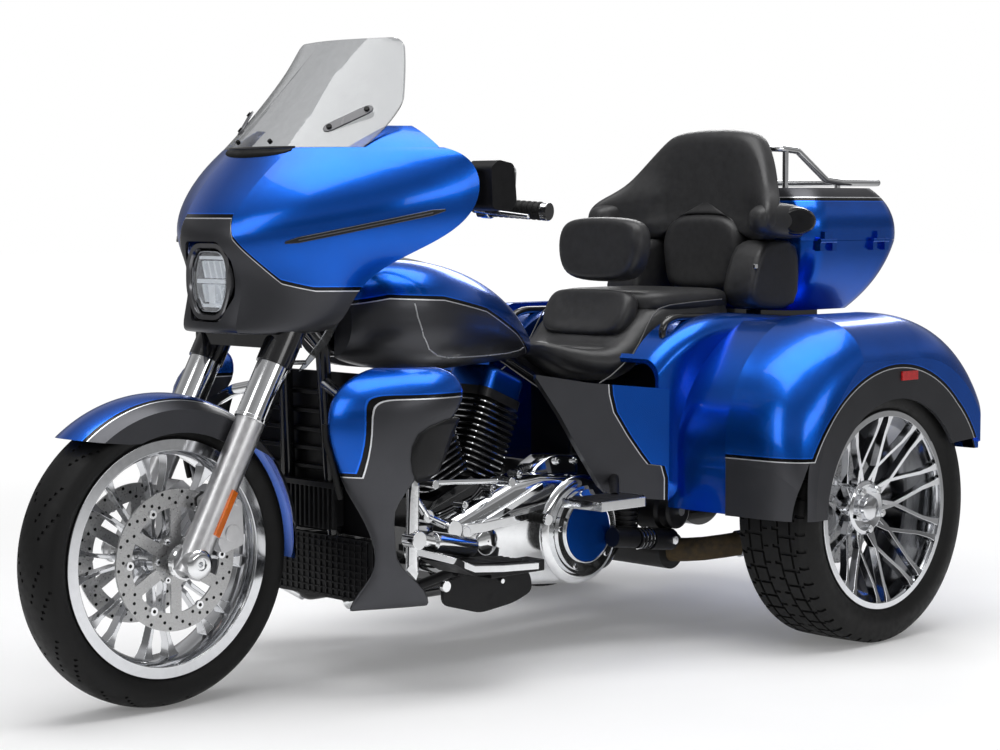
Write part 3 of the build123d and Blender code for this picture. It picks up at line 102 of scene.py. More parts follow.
class Graph:
    """One material's node tree, with short calls for the nodes that the finishes use."""

    def __init__(self, name: str) -> None:
        """Starts a material with one principled shader and the row frame's coordinates.

        Args:
            name: Name of the material.
        """
        self.material = bpy.data.materials.new(name)
        self.material.use_nodes = True
        self.tree = self.material.node_tree
        self.tree.nodes.clear()
        self.shader = self.tree.nodes.new("ShaderNodeBsdfPrincipled")
        output = self.tree.nodes.new("ShaderNodeOutputMaterial")
        self.tree.links.new(self.shader.outputs["BSDF"], output.inputs["Surface"])
        self.place = self.tree.nodes.new("ShaderNodeTexCoord").outputs["Object"]
        split = self.add("ShaderNodeSeparateXYZ", {"Vector": self.place})
        self.x, self.y, self.z = split.outputs

    def feed(self, socket: Socket, value: object) -> None:
        """Links a socket to another, or sets its constant.

        Args:
            socket: Input to feed.
            value: Output socket or constant.
        """
        if isinstance(value, bpy.types.NodeSocket):
            self.tree.links.new(value, socket)
        else:
            socket.default_value = value

    def add(self, kind: str, inputs: dict | None = None, **settings: object) -> bpy.types.Node:
        """Adds a node.

        Args:
            kind: Blender's name for the node type.
            inputs: Values or sockets by input name or number.
            settings: Properties of the node itself.

        Returns:
            The new node.
        """
        node = self.tree.nodes.new(kind)
        for key, value in settings.items():
            setattr(node, key, value)
        for key, value in (inputs or {}).items():
            self.feed(node.inputs[key], value)
        return node

    def math(self, operation: str, a: object, b: object = 0.0, c: object = 0.0) -> Socket:
        """Result of one math node."""
        return self.add("ShaderNodeMath", {0: a, 1: b, 2: c}, operation=operation).outputs[0]

    def noise(self, scale: float, detail: float = 3.0) -> Socket:
        """Noise value in the row frame, with scale in cells per metre."""
        inputs = {"Vector": self.place, "Scale": scale, "Detail": detail}
        return self.add("ShaderNodeTexNoise", inputs).outputs[0]

    def cells(self, scale: float) -> Socket:
        """Distance to the nearest cell centre, with scale in cells per metre."""
        return self.add("ShaderNodeTexVoronoi", {"Vector": self.place, "Scale": scale}).outputs["Distance"]

    def remap(self, value: Socket, low: float, high: float, to_low: float, to_high: float) -> Socket:
        """Value carried from one range to another, held at the ends."""
        inputs = {0: value, 1: low, 2: high, 3: to_low, 4: to_high}
        return self.add("ShaderNodeMapRange", inputs).outputs[0]

    def mix(self, factor: object, a: object, b: object) -> Socket:
        """Mix of two colours.

        Args:
            factor: Share of the second colour.
            a: First colour.
            b: Second colour.

        Returns:
            The mixed colour.
        """
        node = self.add("ShaderNodeMix", data_type="RGBA")
        for key, value in ((0, factor), (6, a), (7, b)):
            self.feed(node.inputs[key], value)
        return node.outputs[2]

    def ramp(self, value: Socket, stops: Sequence[tuple[float, tuple]], steps: bool = False) -> Socket:
        """Colour by value, blended between the stops or held from each stop on.

        Args:
            value: Value from 0 to 1.
            stops: Positions with their colours.
            steps: Whether each colour is held up to the next stop.

        Returns:
            The colour.
        """
        node = self.add("ShaderNodeValToRGB", {0: value})
        node.color_ramp.interpolation = "CONSTANT" if steps else "LINEAR"
        elements = node.color_ramp.elements
        while len(elements) < len(stops):
            elements.new(1.0)
        for element, (position, color) in zip(elements, stops):
            element.position = position
            element.color = (*color[:3], 1.0)
        return node.outputs[0]

    def curve(self, value: Socket, points: Sequence[tuple[float, float]]) -> Socket:
        """Piecewise straight function of a value, through points in the frame's metres.

        Args:
            value: Value to look up.
            points: Values with their results, in rising order.

        Returns:
            The result.
        """
        x0, x1 = points[0][0], points[-1][0]
        y0, y1 = min(p[1] for p in points), max(p[1] for p in points)
        if y1 - y0 < 1e-6:
            y1 = y0 + 1e-3
        node = self.add("ShaderNodeFloatCurve", {1: self.remap(value, x0, x1, 0.0, 1.0)})
        line = node.mapping.curves[0]
        while len(line.points) < len(points):
            line.points.new(0.5, 0.5)
        for point, (px, py) in zip(line.points, points):
            point.location = ((px - x0) / (x1 - x0), (py - y0) / (y1 - y0))
            point.handle_type = "VECTOR"
        node.mapping.update()
        return self.remap(node.outputs[0], 0.0, 1.0, y0, y1)

    def radius(self, x: float, z: float) -> Socket:
        """Distance from an axle along Y, in metres.

        Args:
            x: X of the axle.
            z: Z of the axle.

        Returns:
            The distance.
        """
        dx, dz = self.math("SUBTRACT", self.x, x), self.math("SUBTRACT", self.z, z)
        square = self.math("ADD", self.math("MULTIPLY", dx, dx), self.math("MULTIPLY", dz, dz))
        return self.math("SQRT", square)

    def bump(self, height: Socket, distance: float, strength: float = 1.0) -> None:
        """Raises the surface's shading by a height field."""
        inputs = {"Height": height, "Distance": distance, "Strength": strength}
        self.feed(self.shader.inputs["Normal"], self.add("ShaderNodeBump", inputs).outputs[0])

    def set(self, **values: object) -> None:
        """Sets the shader's inputs by name, with underscores for spaces."""
        for key, value in values.items():
            self.feed(self.shader.inputs[key.replace("_", " ")], value)


@dataclass(frozen=True)
class Finish:
    """Plain finish: a colour and gloss that a fine noise breaks up."""

    name: str
    color: Color
    metallic: float = 0.0
    roughness: float = 0.5
    coat: float = 0.0
    spread: float = 0.15
    grain: float = 60.0
    relief: float = 0.0
    relief_scale: float = 900.0
    transmission: float = 0.0
    glow: float = 0.0
    gloss: float = 0.5

    def material(self) -> bpy.types.Material:
        """Material of this finish.

        Returns:
            The material, made once.
        """
        label = f"look_{self.name}"
        known = bpy.data.materials.get(label)
        if known:
            return known
        graph = Graph(label)
        self.paint(graph)
        return graph.material

    def paint(self, graph: Graph) -> None:
        """Wires the finish into a new tree.

        Args:
            graph: Tree of the new material.
        """
        noise = graph.noise(self.grain)
        low = tuple(c * (1.0 - self.spread) for c in self.color)
        high = tuple(min(1.0, c * (1.0 + self.spread)) for c in self.color)
        color = graph.ramp(noise, [(0.3, low), (0.7, high)])
        rough = graph.remap(noise, 0.3, 0.7, self.roughness * 0.85, min(1.0, self.roughness * 1.15))
        graph.set(Base_Color=color, Metallic=self.metallic, Roughness=rough, Coat_Weight=self.coat)
        graph.set(Coat_Roughness=0.03, Transmission_Weight=self.transmission, Specular_IOR_Level=self.gloss)
        # Glow adds the colour as emission; only the headlamp's bars use it, as a painted highlight.
        if self.glow:
            graph.set(Emission_Color=color, Emission_Strength=self.glow)
        if self.relief:
            graph.bump(graph.noise(self.relief_scale, 4.0), self.relief)


Border = Callable[[Graph], Socket]
BLUE: Color = (0.002, 0.090, 0.50)
BRIGHT_BLUE: Color = (0.01, 0.16, 0.95)
CHARCOAL: Color = (0.062, 0.063, 0.069)
SILVER: Color = (0.72, 0.73, 0.75)
BLACK: Color = (0.006, 0.006, 0.007)


@dataclass(frozen=True)
class Paint(Finish):
    """Metallic paint under clear coat, in one colour or in two with a striped border between them.

    The border gives a signed distance in metres: charcoal below zero, then a silver line, a black band,
    a bright line and blue.
    """

    metallic: float = 0.9
    roughness: float = 0.26
    border: Border | None = None

    def paint(self, graph: Graph) -> None:
        """Wires flakes, border and clear coat.

        Args:
            graph: Tree of the new material.
        """
        flake = graph.remap(graph.cells(2600.0), 0.0, 0.7, 0.72, 1.3)
        cloud = graph.remap(graph.noise(9.0), 0.3, 0.7, 0.92, 1.08)
        light = graph.math("MULTIPLY", flake, cloud)
        base, coat, rough = self.color, 0.5, self.roughness
        if self.border:
            step = graph.remap(self.border(graph), -0.05, 0.05, 0.0, 1.0)
            stops = [(0.0, CHARCOAL), (0.5, SILVER), (0.522, BLACK), (0.60, BRIGHT_BLUE), (0.625, self.color)]
            base = graph.ramp(step, stops, steps=True)
            coat = graph.remap(step, 0.5, 0.55, 0.15, 0.5)
            rough = graph.remap(step, 0.5, 0.55, 0.40, self.roughness)
        shade = graph.add("ShaderNodeVectorMath", {0: base, 3: light}, operation="SCALE").outputs[0]
        graph.set(Base_Color=shade, Metallic=self.metallic, Roughness=rough)
        graph.set(Coat_Weight=coat, Coat_Roughness=0.02, Coat_IOR=1.36)


# Rear axle (x, z) in the metres of the finishes
REAR_AXLE = (REAR_X * MM, REAR_Z * MM)


def fairing_border(g: Graph) -> Socket:
    """Edge of the charcoal mask round the headlamp."""
    line = [(0.0, 1.030), (0.082, 1.030), (0.092, 0.986), (0.16, 0.892), (0.2, 0.876), (0.42, 0.872)]
    return g.math("SUBTRACT", g.z, g.curve(g.math("ABSOLUTE", g.y), line))


def tank_border(g: Graph) -> Socket:
    """Upper edge of the tank's charcoal panel."""
    line = [(-0.05, 0.69), (0.069, 0.754), (0.221, 0.815), (0.373, 0.846), (0.502, 0.852), (0.6, 0.83)]
    return g.math("SUBTRACT", g.z, g.curve(g.x, line))


def front_fender_border(g: Graph) -> Socket:
    """Line along each flank of the front fender's crown."""
    return g.math("SUBTRACT", 0.060, g.math("ABSOLUTE", g.y))


def leg_border(g: Graph) -> Socket:
    """Line between the blue front and the charcoal rear of a leg fairing.

    Args:
        g: The finish's tree.

    Returns:
        Signed distance in metres, below zero on the charcoal side.
    """
    ahead = g.math("SUBTRACT", g.x, 0.722)
    above = g.math("SUBTRACT", g.z, 0.652)
    corner = g.math("SMOOTH_MAX", ahead, above, 0.06)
    return g.math("MINIMUM", corner, g.math("SUBTRACT", g.z, 0.486))


def rear_fender_border(g: Graph) -> Socket:
    """Skirt line at the front of a rear fender, ring round its wheel arch, and painted shade in the arch.

    Args:
        g: The finish's tree.

    Returns:
        Signed distance in metres, below zero on the charcoal side.
    """
    ring = [(-0.97, 0.354), (-0.88, 0.344), (-0.73, 0.303), (-0.57, 0.296), (-0.2, 0.30)]
    side = g.math("ABSOLUTE", g.y)
    face = g.math("SUBTRACT", g.radius(*REAR_AXLE), g.curve(g.x, ring))
    face = g.math("ADD", face, g.math("LESS_THAN", side, 0.655))
    skirt = g.math("ADD", g.math("SUBTRACT", g.z, 0.466), g.math("LESS_THAN", g.x, -0.62))
    skirt = g.math("ADD", skirt, g.math("LESS_THAN", side, 0.4815))
    # Painted shade: charcoal on the inner wall of the wheel arch, seen through the spokes, stands in for the
    # wheel well's shade.
    arch_shade = g.math("SUBTRACT", g.radius(*REAR_AXLE), 0.345)
    inner = g.math("MULTIPLY_ADD", g.math("GREATER_THAN", g.x, -0.42), 0.22, 0.20)
    arch_shade = g.math("ADD", arch_shade, g.math("LESS_THAN", side, inner))
    return g.math("MINIMUM", g.math("MINIMUM", face, skirt), arch_shade)


def side_cover_border(g: Graph) -> Socket:
    """Line down a side cover, charcoal ahead of it and blue behind.

    Args:
        g: The finish's tree.

    Returns:
        Signed distance in metres, below zero on the charcoal side.
    """
    line = [(0.34, -0.234), (0.406, -0.234), (0.436, -0.226), (0.441, -0.194), (0.464, -0.177)]
    line += [(0.511, -0.146), (0.569, -0.113), (0.612, -0.103), (0.66, -0.10)]
    return g.math("SUBTRACT", g.curve(g.z, line), g.x)


def lid_border(g: Graph) -> Socket:
    """Dark band along the top edge of the lid."""
    return g.math("SUBTRACT", 1.082, g.z)


PAINT = Paint("paint_blue", BLUE)
PAINT_FAIRING = Paint("paint_fairing", BLUE, border=fairing_border)
PAINT_TANK = Paint("paint_tank", BLUE, border=tank_border)
PAINT_FENDER = Paint("paint_front_fender", BLUE, border=front_fender_border)
PAINT_LEG = Paint("paint_leg", BLUE, border=leg_border)
PAINT_REAR = Paint("paint_rear", BLUE, border=rear_fender_border)
PAINT_COVER = Paint("paint_cover", BLUE, border=side_cover_border)
PAINT_LID = Paint("paint_lid", BLUE, border=lid_border)
CHROME = Finish("chrome", (0.86, 0.87, 0.88), metallic=1.0, roughness=0.07, spread=0.03)
RIM = Finish("polished_rim", (0.72, 0.73, 0.75), metallic=1.0, roughness=0.09, spread=0.04)
STEEL = Finish("disc_steel", (0.50, 0.50, 0.50), metallic=1.0, roughness=0.3, spread=0.08, grain=220.0)
ALLOY = Finish("satin_alloy", (0.70, 0.70, 0.71), metallic=1.0, roughness=0.36, spread=0.05)
GLOSS_BLACK = Finish("black_metal", (0.008, 0.008, 0.009), metallic=0.0, roughness=0.16, coat=0.6)
FIN = Finish("fins", (0.012, 0.012, 0.013), roughness=0.4, coat=0.1, gloss=0.3)
EXHAUST = Finish("exhaust_black", (0.012, 0.012, 0.012), roughness=0.42, relief=0.0002)
SCREEN = Finish("screen", (0.42, 0.43, 0.44), roughness=0.02, spread=0.03, transmission=1.0, gloss=0.12)
SMOKE = Finish("deflector", (0.22, 0.23, 0.24), roughness=0.03, spread=0.03, transmission=1.0)
LENS = Finish("lamp", (0.30, 0.31, 0.32), roughness=0.1, metallic=0.7, spread=0.1)
RED_LENS = Finish("red_lens", (0.55, 0.008, 0.01), roughness=0.12, coat=1.0)
PLASTIC = Finish("black_plastic", (0.004, 0.004, 0.005), roughness=0.42, relief=0.00006, gloss=0.3)
LEATHER = Finish("leather", (0.028, 0.028, 0.029), roughness=0.40, relief=0.00015,
                 relief_scale=420.0, gloss=0.4)
RUBBER = Finish("tyre", (0.006, 0.006, 0.006), roughness=0.55, relief=0.00008, gloss=0.25)
# Near-black: painted shade in the disc holes, bolt sockets and air slot, and the real black of the windshield
# screws.
BLACK_AND_SHADE = Finish("black_and_shade", (0.004, 0.004, 0.004), roughness=0.5, gloss=0.2)
DARK_CHROME = Finish("dark_chrome", (0.20, 0.20, 0.21), metallic=1.0, roughness=0.2, spread=0.06)
# The headlamp is not lit: the faint glow of its bars is a painted highlight.
LAMP_METAL = Finish("lamp_metal", (0.66, 0.68, 0.71), metallic=0.3, roughness=0.25, spread=0.05, glow=0.3)
CLEAR = Finish("lamp_clear", (0.80, 0.82, 0.84), roughness=0.01, spread=0.01, transmission=1.0, gloss=0.2)
AMBER = Finish("amber", (0.75, 0.16, 0.01), roughness=0.2, coat=1.0)
SMOKE_GREY = Finish("smoke_grey", (0.10, 0.10, 0.11), roughness=0.25, spread=0.06)
SCREEN_BLACK = Finish("display_glass", (0.004, 0.005, 0.007), roughness=0.05, coat=1.0)
WRAP = Finish("pipe_wrap", (0.075, 0.052, 0.024), roughness=0.8, relief=0.0012, relief_scale=160.0,
              spread=0.4)
SILVER_LINE = Finish("silver_line", (0.62, 0.63, 0.65), metallic=0.6, roughness=0.3, spread=0.04)
PIPING = Finish("piping", (0.10, 0.10, 0.10), roughness=0.5, spread=0.1)

CAD_FINISH: dict[str, Finish] = {
    "front_tyre": RUBBER, "rear_tyre_left": RUBBER, "rear_tyre_right": RUBBER,
    "front_rim": RIM, "rear_rim_left": RIM, "rear_rim_right": RIM,
    "front_discs": STEEL, "rear_disc_left": STEEL, "rear_disc_right": STEEL,
    "front_axle": CHROME, "fork_legs": ALLOY, "fork_crowns": GLOSS_BLACK, "front_fender": PAINT_FENDER,
    "brake_calipers": ALLOY, "rear_calipers": ALLOY, "outer_fairing": PAINT_FAIRING, "headlamp": LENS,
    "windshield": SCREEN, "inner_fairing": PLASTIC, "handlebar": GLOSS_BLACK, "hand_levers": CHROME,
    "mirrors": PLASTIC, "light_bars": PLASTIC, "wind_deflectors": SMOKE, "frame_tubes": GLOSS_BLACK,
    "engine_block": GLOSS_BLACK, "cylinders": FIN, "rocker_covers": PAINT, "primary_cover": CHROME,
    "derby_cover": CHROME, "derby_insert": PAINT, "cam_cover": CHROME, "air_cleaner": GLOSS_BLACK,
    "exhaust": EXHAUST, "leg_fairings": PAINT_LEG, "engine_guard": CHROME, "leg_boxes": PLASTIC,
    "oil_cooler": FIN, "lower_grille": PLASTIC, "fuel_tank": PAINT_TANK, "tank_console": CHROME,
    "side_covers": PAINT_COVER, "rider_footboards": PLASTIC, "passenger_footboards": PLASTIC,
    "rear_lamps": RED_LENS, "rear_body": PAINT_REAR, "trunk_door": PAINT, "rear_axle": GLOSS_BLACK,
    "rear_suspension": GLOSS_BLACK, "saddle": LEATHER, "rider_backrest": LEATHER, "top_box": PAINT,
    "top_box_lid": PAINT_LID, "luggage_rack": CHROME, "passenger_backrest": LEATHER, "speaker_pods": PLASTIC,
    "map_pockets": LEATHER, "box_mounts": GLOSS_BLACK, "grab_handles": GLOSS_BLACK,
}


class Form:
    """Mesh under construction in the row frame, in millimetres until it is placed."""

    def __init__(self) -> None:
        """Starts empty."""
        self.bm = bmesh.new()

    def ring(self, points: Iterable[Sequence[float]], closed: bool = True) -> list[bmesh.types.BMEdge]:
        """Adds a row of vertices joined by edges.

        Args:
            points: Places of the vertices.
            closed: Whether the last joins the first.

        Returns:
            The edges.
        """
        verts = [self.bm.verts.new(Vector(p)) for p in points]
        pairs = list(zip(verts, verts[1:]))
        if closed:
            pairs.append((verts[-1], verts[0]))
        return [self.bm.edges.new(pair) for pair in pairs]

    def skin(self, rows: Sequence[Sequence[Sequence[float]]], closed: bool = True, caps: bool = True) -> None:
        """Joins rows of points into a surface.

        Args:
            rows: Rows with the same number of points.
            closed: Whether each row is a loop.
            caps: Whether the first and last loops are filled.
        """
        loops = [self.ring(row, closed) for row in rows]
        for a, b in zip(loops, loops[1:]):
            bmesh.ops.bridge_loops(self.bm, edges=a + b)
        if closed and caps:
            for loop in (loops[0], loops[-1]):
                bmesh.ops.contextual_create(self.bm, geom=loop)

    def lathe(self, profile: Sequence[tuple[float, float]], x: float, z: float, steps: int) -> None:
        """Turns a profile (y, radius) about an axle along Y.

        Args:
            profile: Points as y and radius.
            x: X of the axle.
            z: Z of the axle.
            steps: Steps in a full turn.
        """
        edges = self.ring([(x, y, z + r) for y, r in profile], closed=False)
        geom = edges + list(dict.fromkeys(v for e in edges for v in e.verts))
        bmesh.ops.spin(
            self.bm, geom=geom, cent=(x, 0, z), axis=(0, 1, 0), dvec=(0, 0, 0),
            angle=math.tau, steps=steps, use_merge=True, use_normal_flip=False,
        )
        bmesh.ops.remove_doubles(self.bm, verts=self.bm.verts, dist=0.001)

    def tube(
        self, points: Sequence[Sequence[float]], radius: float, sides: int = 12, caps: bool = True,
    ) -> None:
        """Round bar along a row of points.

        Args:
            points: Middle line.
            radius: Radius of the bar.
            sides: Sides of its section.
            caps: Whether its ends are closed.
        """
        path = [Vector(p) for p in points]
        side = None
        rows = []
        for i, point in enumerate(path):
            ahead = path[min(i + 1, len(path) - 1)] - path[max(i - 1, 0)]
            ahead.normalize()
            if side is None:
                side = ahead.orthogonal().normalized()
            side = (side - ahead * side.dot(ahead)).normalized()
            up = ahead.cross(side)
            turn = [math.tau * k / sides for k in range(sides)]
            rows.append([point + side * (radius * math.cos(t)) + up * (radius * math.sin(t)) for t in turn])
        self.skin(rows, caps=caps)

    def bar(self, stations: Sequence[tuple[Vector, Vector, Vector, float, float]]) -> None:
        """Four-sided bar through stations.

        Args:
            stations: Point, width direction, depth direction, width and depth.
        """
        rows = []
        for point, wide, deep, width, depth in stations:
            w, d = wide * (width / 2), deep * (depth / 2)
            rows.append([point - w - d, point + w - d, point + w + d, point - w + d])
        self.skin(rows)

    def cylinder(self, start: Sequence[float], end: Sequence[float], radius: float, sides: int = 24) -> None:
        """Round bar between two points.

        Args:
            start: Middle of one end.
            end: Middle of the other end.
            radius: Radius of the bar.
            sides: Sides of its section.
        """
        run = Vector(end) - Vector(start)
        middle = Matrix.Translation((Vector(start) + Vector(end)) / 2)
        spot = middle @ run.to_track_quat("Z", "Y").to_matrix().to_4x4()
        bmesh.ops.create_cone(
            self.bm, cap_ends=True, segments=sides, radius1=radius, radius2=radius,
            depth=run.length, matrix=spot,
        )

    def block(self, low: Sequence[float], high: Sequence[float], turn: Matrix | None = None) -> None:
        """Square block between two corners, turned about its middle.

        Args:
            low: Lowest corner.
            high: Highest corner.
            turn: Turn about the middle.
        """
        a, b = Vector(low), Vector(high)
        size = Matrix.Diagonal((*(b - a), 1.0))
        spot = Matrix.Translation((a + b) / 2) @ (turn or Matrix.Identity(4)) @ size
        bmesh.ops.create_cube(self.bm, size=1.0, matrix=spot)

    def both_sides(self) -> None:
        """Adds the mirror image across the middle plane."""
        whole = self.bm.verts[:] + self.bm.edges[:] + self.bm.faces[:]
        made = bmesh.ops.duplicate(self.bm, geom=whole)["geom"]
        verts = [g for g in made if isinstance(g, bmesh.types.BMVert)]
        faces = [g for g in made if isinstance(g, bmesh.types.BMFace)]
        bmesh.ops.scale(self.bm, vec=(1, -1, 1), verts=verts)
        bmesh.ops.reverse_faces(self.bm, faces=faces)

    def place(
        self, name: str, finish: Finish, body: Body, slot: str, replaces: Sequence[str] = (),
        smooth: int = 0, wall: float = 0.0, bevel: float = 0.0, sharp: float = 40.0,
    ) -> bpy.types.Object:
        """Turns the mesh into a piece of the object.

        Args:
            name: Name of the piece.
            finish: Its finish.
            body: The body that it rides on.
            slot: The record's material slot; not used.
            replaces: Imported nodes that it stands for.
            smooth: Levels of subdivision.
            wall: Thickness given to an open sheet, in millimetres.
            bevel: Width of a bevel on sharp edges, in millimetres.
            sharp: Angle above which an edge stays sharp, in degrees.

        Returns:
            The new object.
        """
        bmesh.ops.recalc_face_normals(self.bm, faces=self.bm.faces)
        bmesh.ops.scale(self.bm, vec=(MM, MM, MM), verts=self.bm.verts)
        mesh = bpy.data.meshes.new(name)
        self.bm.to_mesh(mesh)
        self.bm.free()
        mesh.materials.append(finish.material())
        mesh.shade_smooth()
        if not smooth:
            mesh.set_sharp_from_angle(angle=math.radians(sharp))
        piece = bpy.data.objects.new(name, mesh)
        bpy.context.scene.collection.objects.link(piece)
        if wall:
            shell = piece.modifiers.new("wall", "SOLIDIFY")
            shell.thickness = wall * MM
            shell.offset = -1.0
        if bevel:
            edge = piece.modifiers.new("edge", "BEVEL")
            edge.width = bevel * MM
            edge.segments = 2
            edge.limit_method = "ANGLE"
            edge.angle_limit = math.radians(35)
            edge.harden_normals = True
        if smooth:
            round_ = piece.modifiers.new("round", "SUBSURF")
            round_.levels = smooth
            round_.render_levels = smooth
        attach(piece, body.value)
        if replaces:
            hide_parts(*replaces)
        return piece


@dataclass(frozen=True)
class Tyre:
    """Tyre with a grooved tread, on one axle along Y."""

    name: str
    body: Body
    x: float
    y: float
    radius: float
    width: float
    rim_radius: float
    rim_width: float
    steps: int
    wide: bool = False

    def profile(self) -> list[tuple[float, float]]:
        """Section (y, radius) from one bead over the crown to the other.

        Returns:
            Points as y and radius.
        """
        half, seat = self.width / 2, self.rim_width / 2 - 6
        bead, lip = self.rim_radius - 8, self.rim_radius + 1
        height = self.radius - lip
        if self.wide:
            flank = [(seat, bead), (seat, lip), (half - 5, lip + 0.14 * height), (half, lip + 0.42 * height)]
            flank += [(half - 4, lip + 0.68 * height)]
            flank += [(half - 9, self.radius - 10), (half - 17, self.radius - 3)]
            tread = [0.80, 0.70, 0.60, 0.53, 0.46, 0.36, 0.26, 0.20, 0.13, 0.06]
            crown = [(half * t, self.radius - 2.0 * t * t) for t in tread]
        else:
            flank = [(seat, bead), (seat, lip), (half - 7, lip + 0.16 * height), (half, lip + 0.42 * height)]
            flank += [(half - 1.5, lip + 0.56 * height)]
            drop = 0.40 * height
            tread = [0.93, 0.84, 0.74, 0.64, 0.54, 0.44, 0.34, 0.24, 0.14, 0.05]
            crown = [(half * t, self.radius - drop * t ** 2.6) for t in tread]
        side = flank + crown
        return [(self.y - a, r) for a, r in side] + [(self.y + a, r) for a, r in reversed(side)]

    def grooved(self, turn: float, across: float) -> bool:
        """Whether the tread is cut at a place.

        Args:
            turn: Angle in steps of the spin.
            across: Place across the tread, from -1 to 1.

        Returns:
            True in a groove.
        """
        side = abs(across)
        if self.wide:
            if 0.18 < side < 0.28 or 0.50 < side < 0.62:
                return True
            phase = 3 if side < 0.2 else (0 if across > 0 else 2)
            lean = 2.2 * across
            return side < 0.92 and (turn + phase + lean) % 5.0 < 1.0 and side > 0.05
        shift = 22.0 * side if across > 0 else 22.0 * side + 6.0
        period = 12.0
        row = int((turn + shift) // period)
        low, high = ((0.12, 0.72) if row % 2 else (0.42, 0.90))
        return low < side < high and (turn + shift) % period < 1.0

    def build(self) -> bpy.types.Object:
        """Spins the section and sinks the grooves.

        Returns:
            The tyre.
        """
        form = Form()
        z = self.radius
        form.lathe(self.profile(), self.x, z, self.steps)
        cut = []
        for face in form.bm.faces:
            middle = face.calc_center_median()
            reach = math.hypot(middle.x - self.x, middle.z - z)
            across = (middle.y - self.y) / (self.width / 2)
            if reach < self.radius - 0.36 * (self.radius - self.rim_radius) or abs(across) > 0.95:
                continue
            turn = math.atan2(middle.x - self.x, middle.z - z) / math.tau * self.steps
            if self.grooved(turn % self.steps, across):
                cut.append(face)
        depth = -5.0 if self.wide else -3.6
        bmesh.ops.recalc_face_normals(form.bm, faces=form.bm.faces)
        bmesh.ops.inset_region(form.bm, faces=cut, thickness=0.9, depth=depth, use_even_offset=True)
        return form.place(f"{self.name}_tread", RUBBER, self.body, "tyre", (self.name,), sharp=38.0)


@dataclass(frozen=True)
class Wheel:
    """Polished wheel: a stepped barrel and pairs of slender spokes that cross near the hub.

    The tables give, for each station of a spoke, its radius, its angle off the pair's middle in degrees, its
    depth behind the outer face, its width and its thickness.
    """

    name: str
    body: Body
    x: float
    y: float
    z: float
    radius: float
    width: float
    pairs: int
    spokes: tuple[tuple[float, float, float, float, float], ...]
    hub: tuple[tuple[float, float], ...]
    barrel: tuple[tuple[float, float], ...]

    def point(self, radius: float, angle: float, y: float) -> Vector:
        """Point of the wheel at a radius, an angle from the top and a place across."""
        turn = math.radians(angle)
        return Vector((self.x + radius * math.sin(turn), y, self.z + radius * math.cos(turn)))

    def build(self) -> bpy.types.Object:
        """Barrel, hub and spokes as one piece.

        Returns:
            The wheel.
        """
        form = Form()
        form.lathe(self.barrel, self.x, self.z, 144)
        form.lathe(self.hub, self.x, self.z, 64)
        across = Vector((0, 1, 0))
        for i in range(self.pairs):
            middle = 360.0 * i / self.pairs
            for side in (-1, 1):
                stations = []
                for radius, angle, y, width, depth in self.spokes:
                    spot = self.point(radius, middle + side * angle, y)
                    out = (spot - Vector((self.x, y, self.z))).normalized()
                    stations.append((spot, out.cross(across), across, width, depth))
                form.bar(stations)
        label = f"{self.name}_spokes"
        return form.place(label, RIM, self.body, "polished_rim", (self.name,), bevel=1.4, sharp=30.0)


@dataclass(frozen=True)
class Pad:
    """Stuffed pad: an outline (across, along) that is puffed up from its back to its face.

    Lean is 0 where the pad stands upright and faces forward, and 90 where it lies flat and faces up. Wrap
    brings the pad's flanks forward, beyond the flat part in the middle.
    """

    name: str
    outline: tuple[tuple[float, float], ...]
    origin: tuple[float, float, float]
    thickness: float
    lean: float
    wrap: float = 0.0
    flat: float = 120.0
    dish: float = 0.0
    replaces: tuple[str, ...] = ()

    def spot(self, u: float, v: float, w: float) -> Vector:
        """Point of the pad in the row frame.

        Args:
            u: Place across the pad.
            v: Place along the pad.
            w: Height out of its back.

        Returns:
            The point.
        """
        turn = math.radians(self.lean)
        along = Vector((-math.sin(turn), 0, math.cos(turn)))
        out = Vector((math.cos(turn), 0, math.sin(turn)))
        reach = max(0.0, abs(u) - self.flat)
        lift = w + self.wrap * (reach / 160.0) ** 1.4
        return Vector(self.origin) + Vector((0, u, 0)) + along * v + out * lift

    def build(self) -> bpy.types.Object:
        """Stacks shrunken copies of the outline and rounds them.

        Returns:
            The pad.
        """
        half = list(self.outline)
        loop = half + [(-u, v) for u, v in reversed(half) if u > 0.1]
        mid_v = sum(v for _, v in loop) / len(loop)
        t = self.thickness
        layers = [(0.55, 0.0), (0.93, 0.0), (1.0, 0.16 * t), (1.0, 0.62 * t), (0.95, 0.88 * t), (0.82, t)]
        layers += [(0.5, t - self.dish * 0.7), (0.18, t - self.dish)]
        form = Form()
        form.skin([[self.spot(u * k, mid_v + (v - mid_v) * k, w) for u, v in loop] for k, w in layers])
        piece = form.place(self.name, LEATHER, Body.CHASSIS, "leather", self.replaces, smooth=2)
        return piece


# Front wheel, from y and radius, and for the spokes from radius, angle, y, width and thickness
FRONT_HUB = (
    (-62, 16), (-62, 34), (-56, 40), (-20, 40), (-16, 34), (16, 34), (20, 40), (56, 40), (62, 34), (62, 16),
)
FRONT_BARREL = (
    (-54, 228), (-54, 253), (-50, 254), (-46, 247), (-40, 236), (-24, 226), (24, 226), (40, 236), (46, 247),
    (50, 254), (54, 253), (54, 228), (44, 222), (30, 217), (-30, 217), (-44, 222), (-54, 228),
)
FRONT_SPOKES = (
    (30, 20, 0, 14, 30), (66, 13, 0, 10, 26), (110, 5.5, 0, 9, 24), (150, 6.5, 0, 8, 24),
    (186, 8.0, 0, 10, 26), (208, 8.4, 0, 20, 30), (222, 8.4, 0, 34, 36),
)


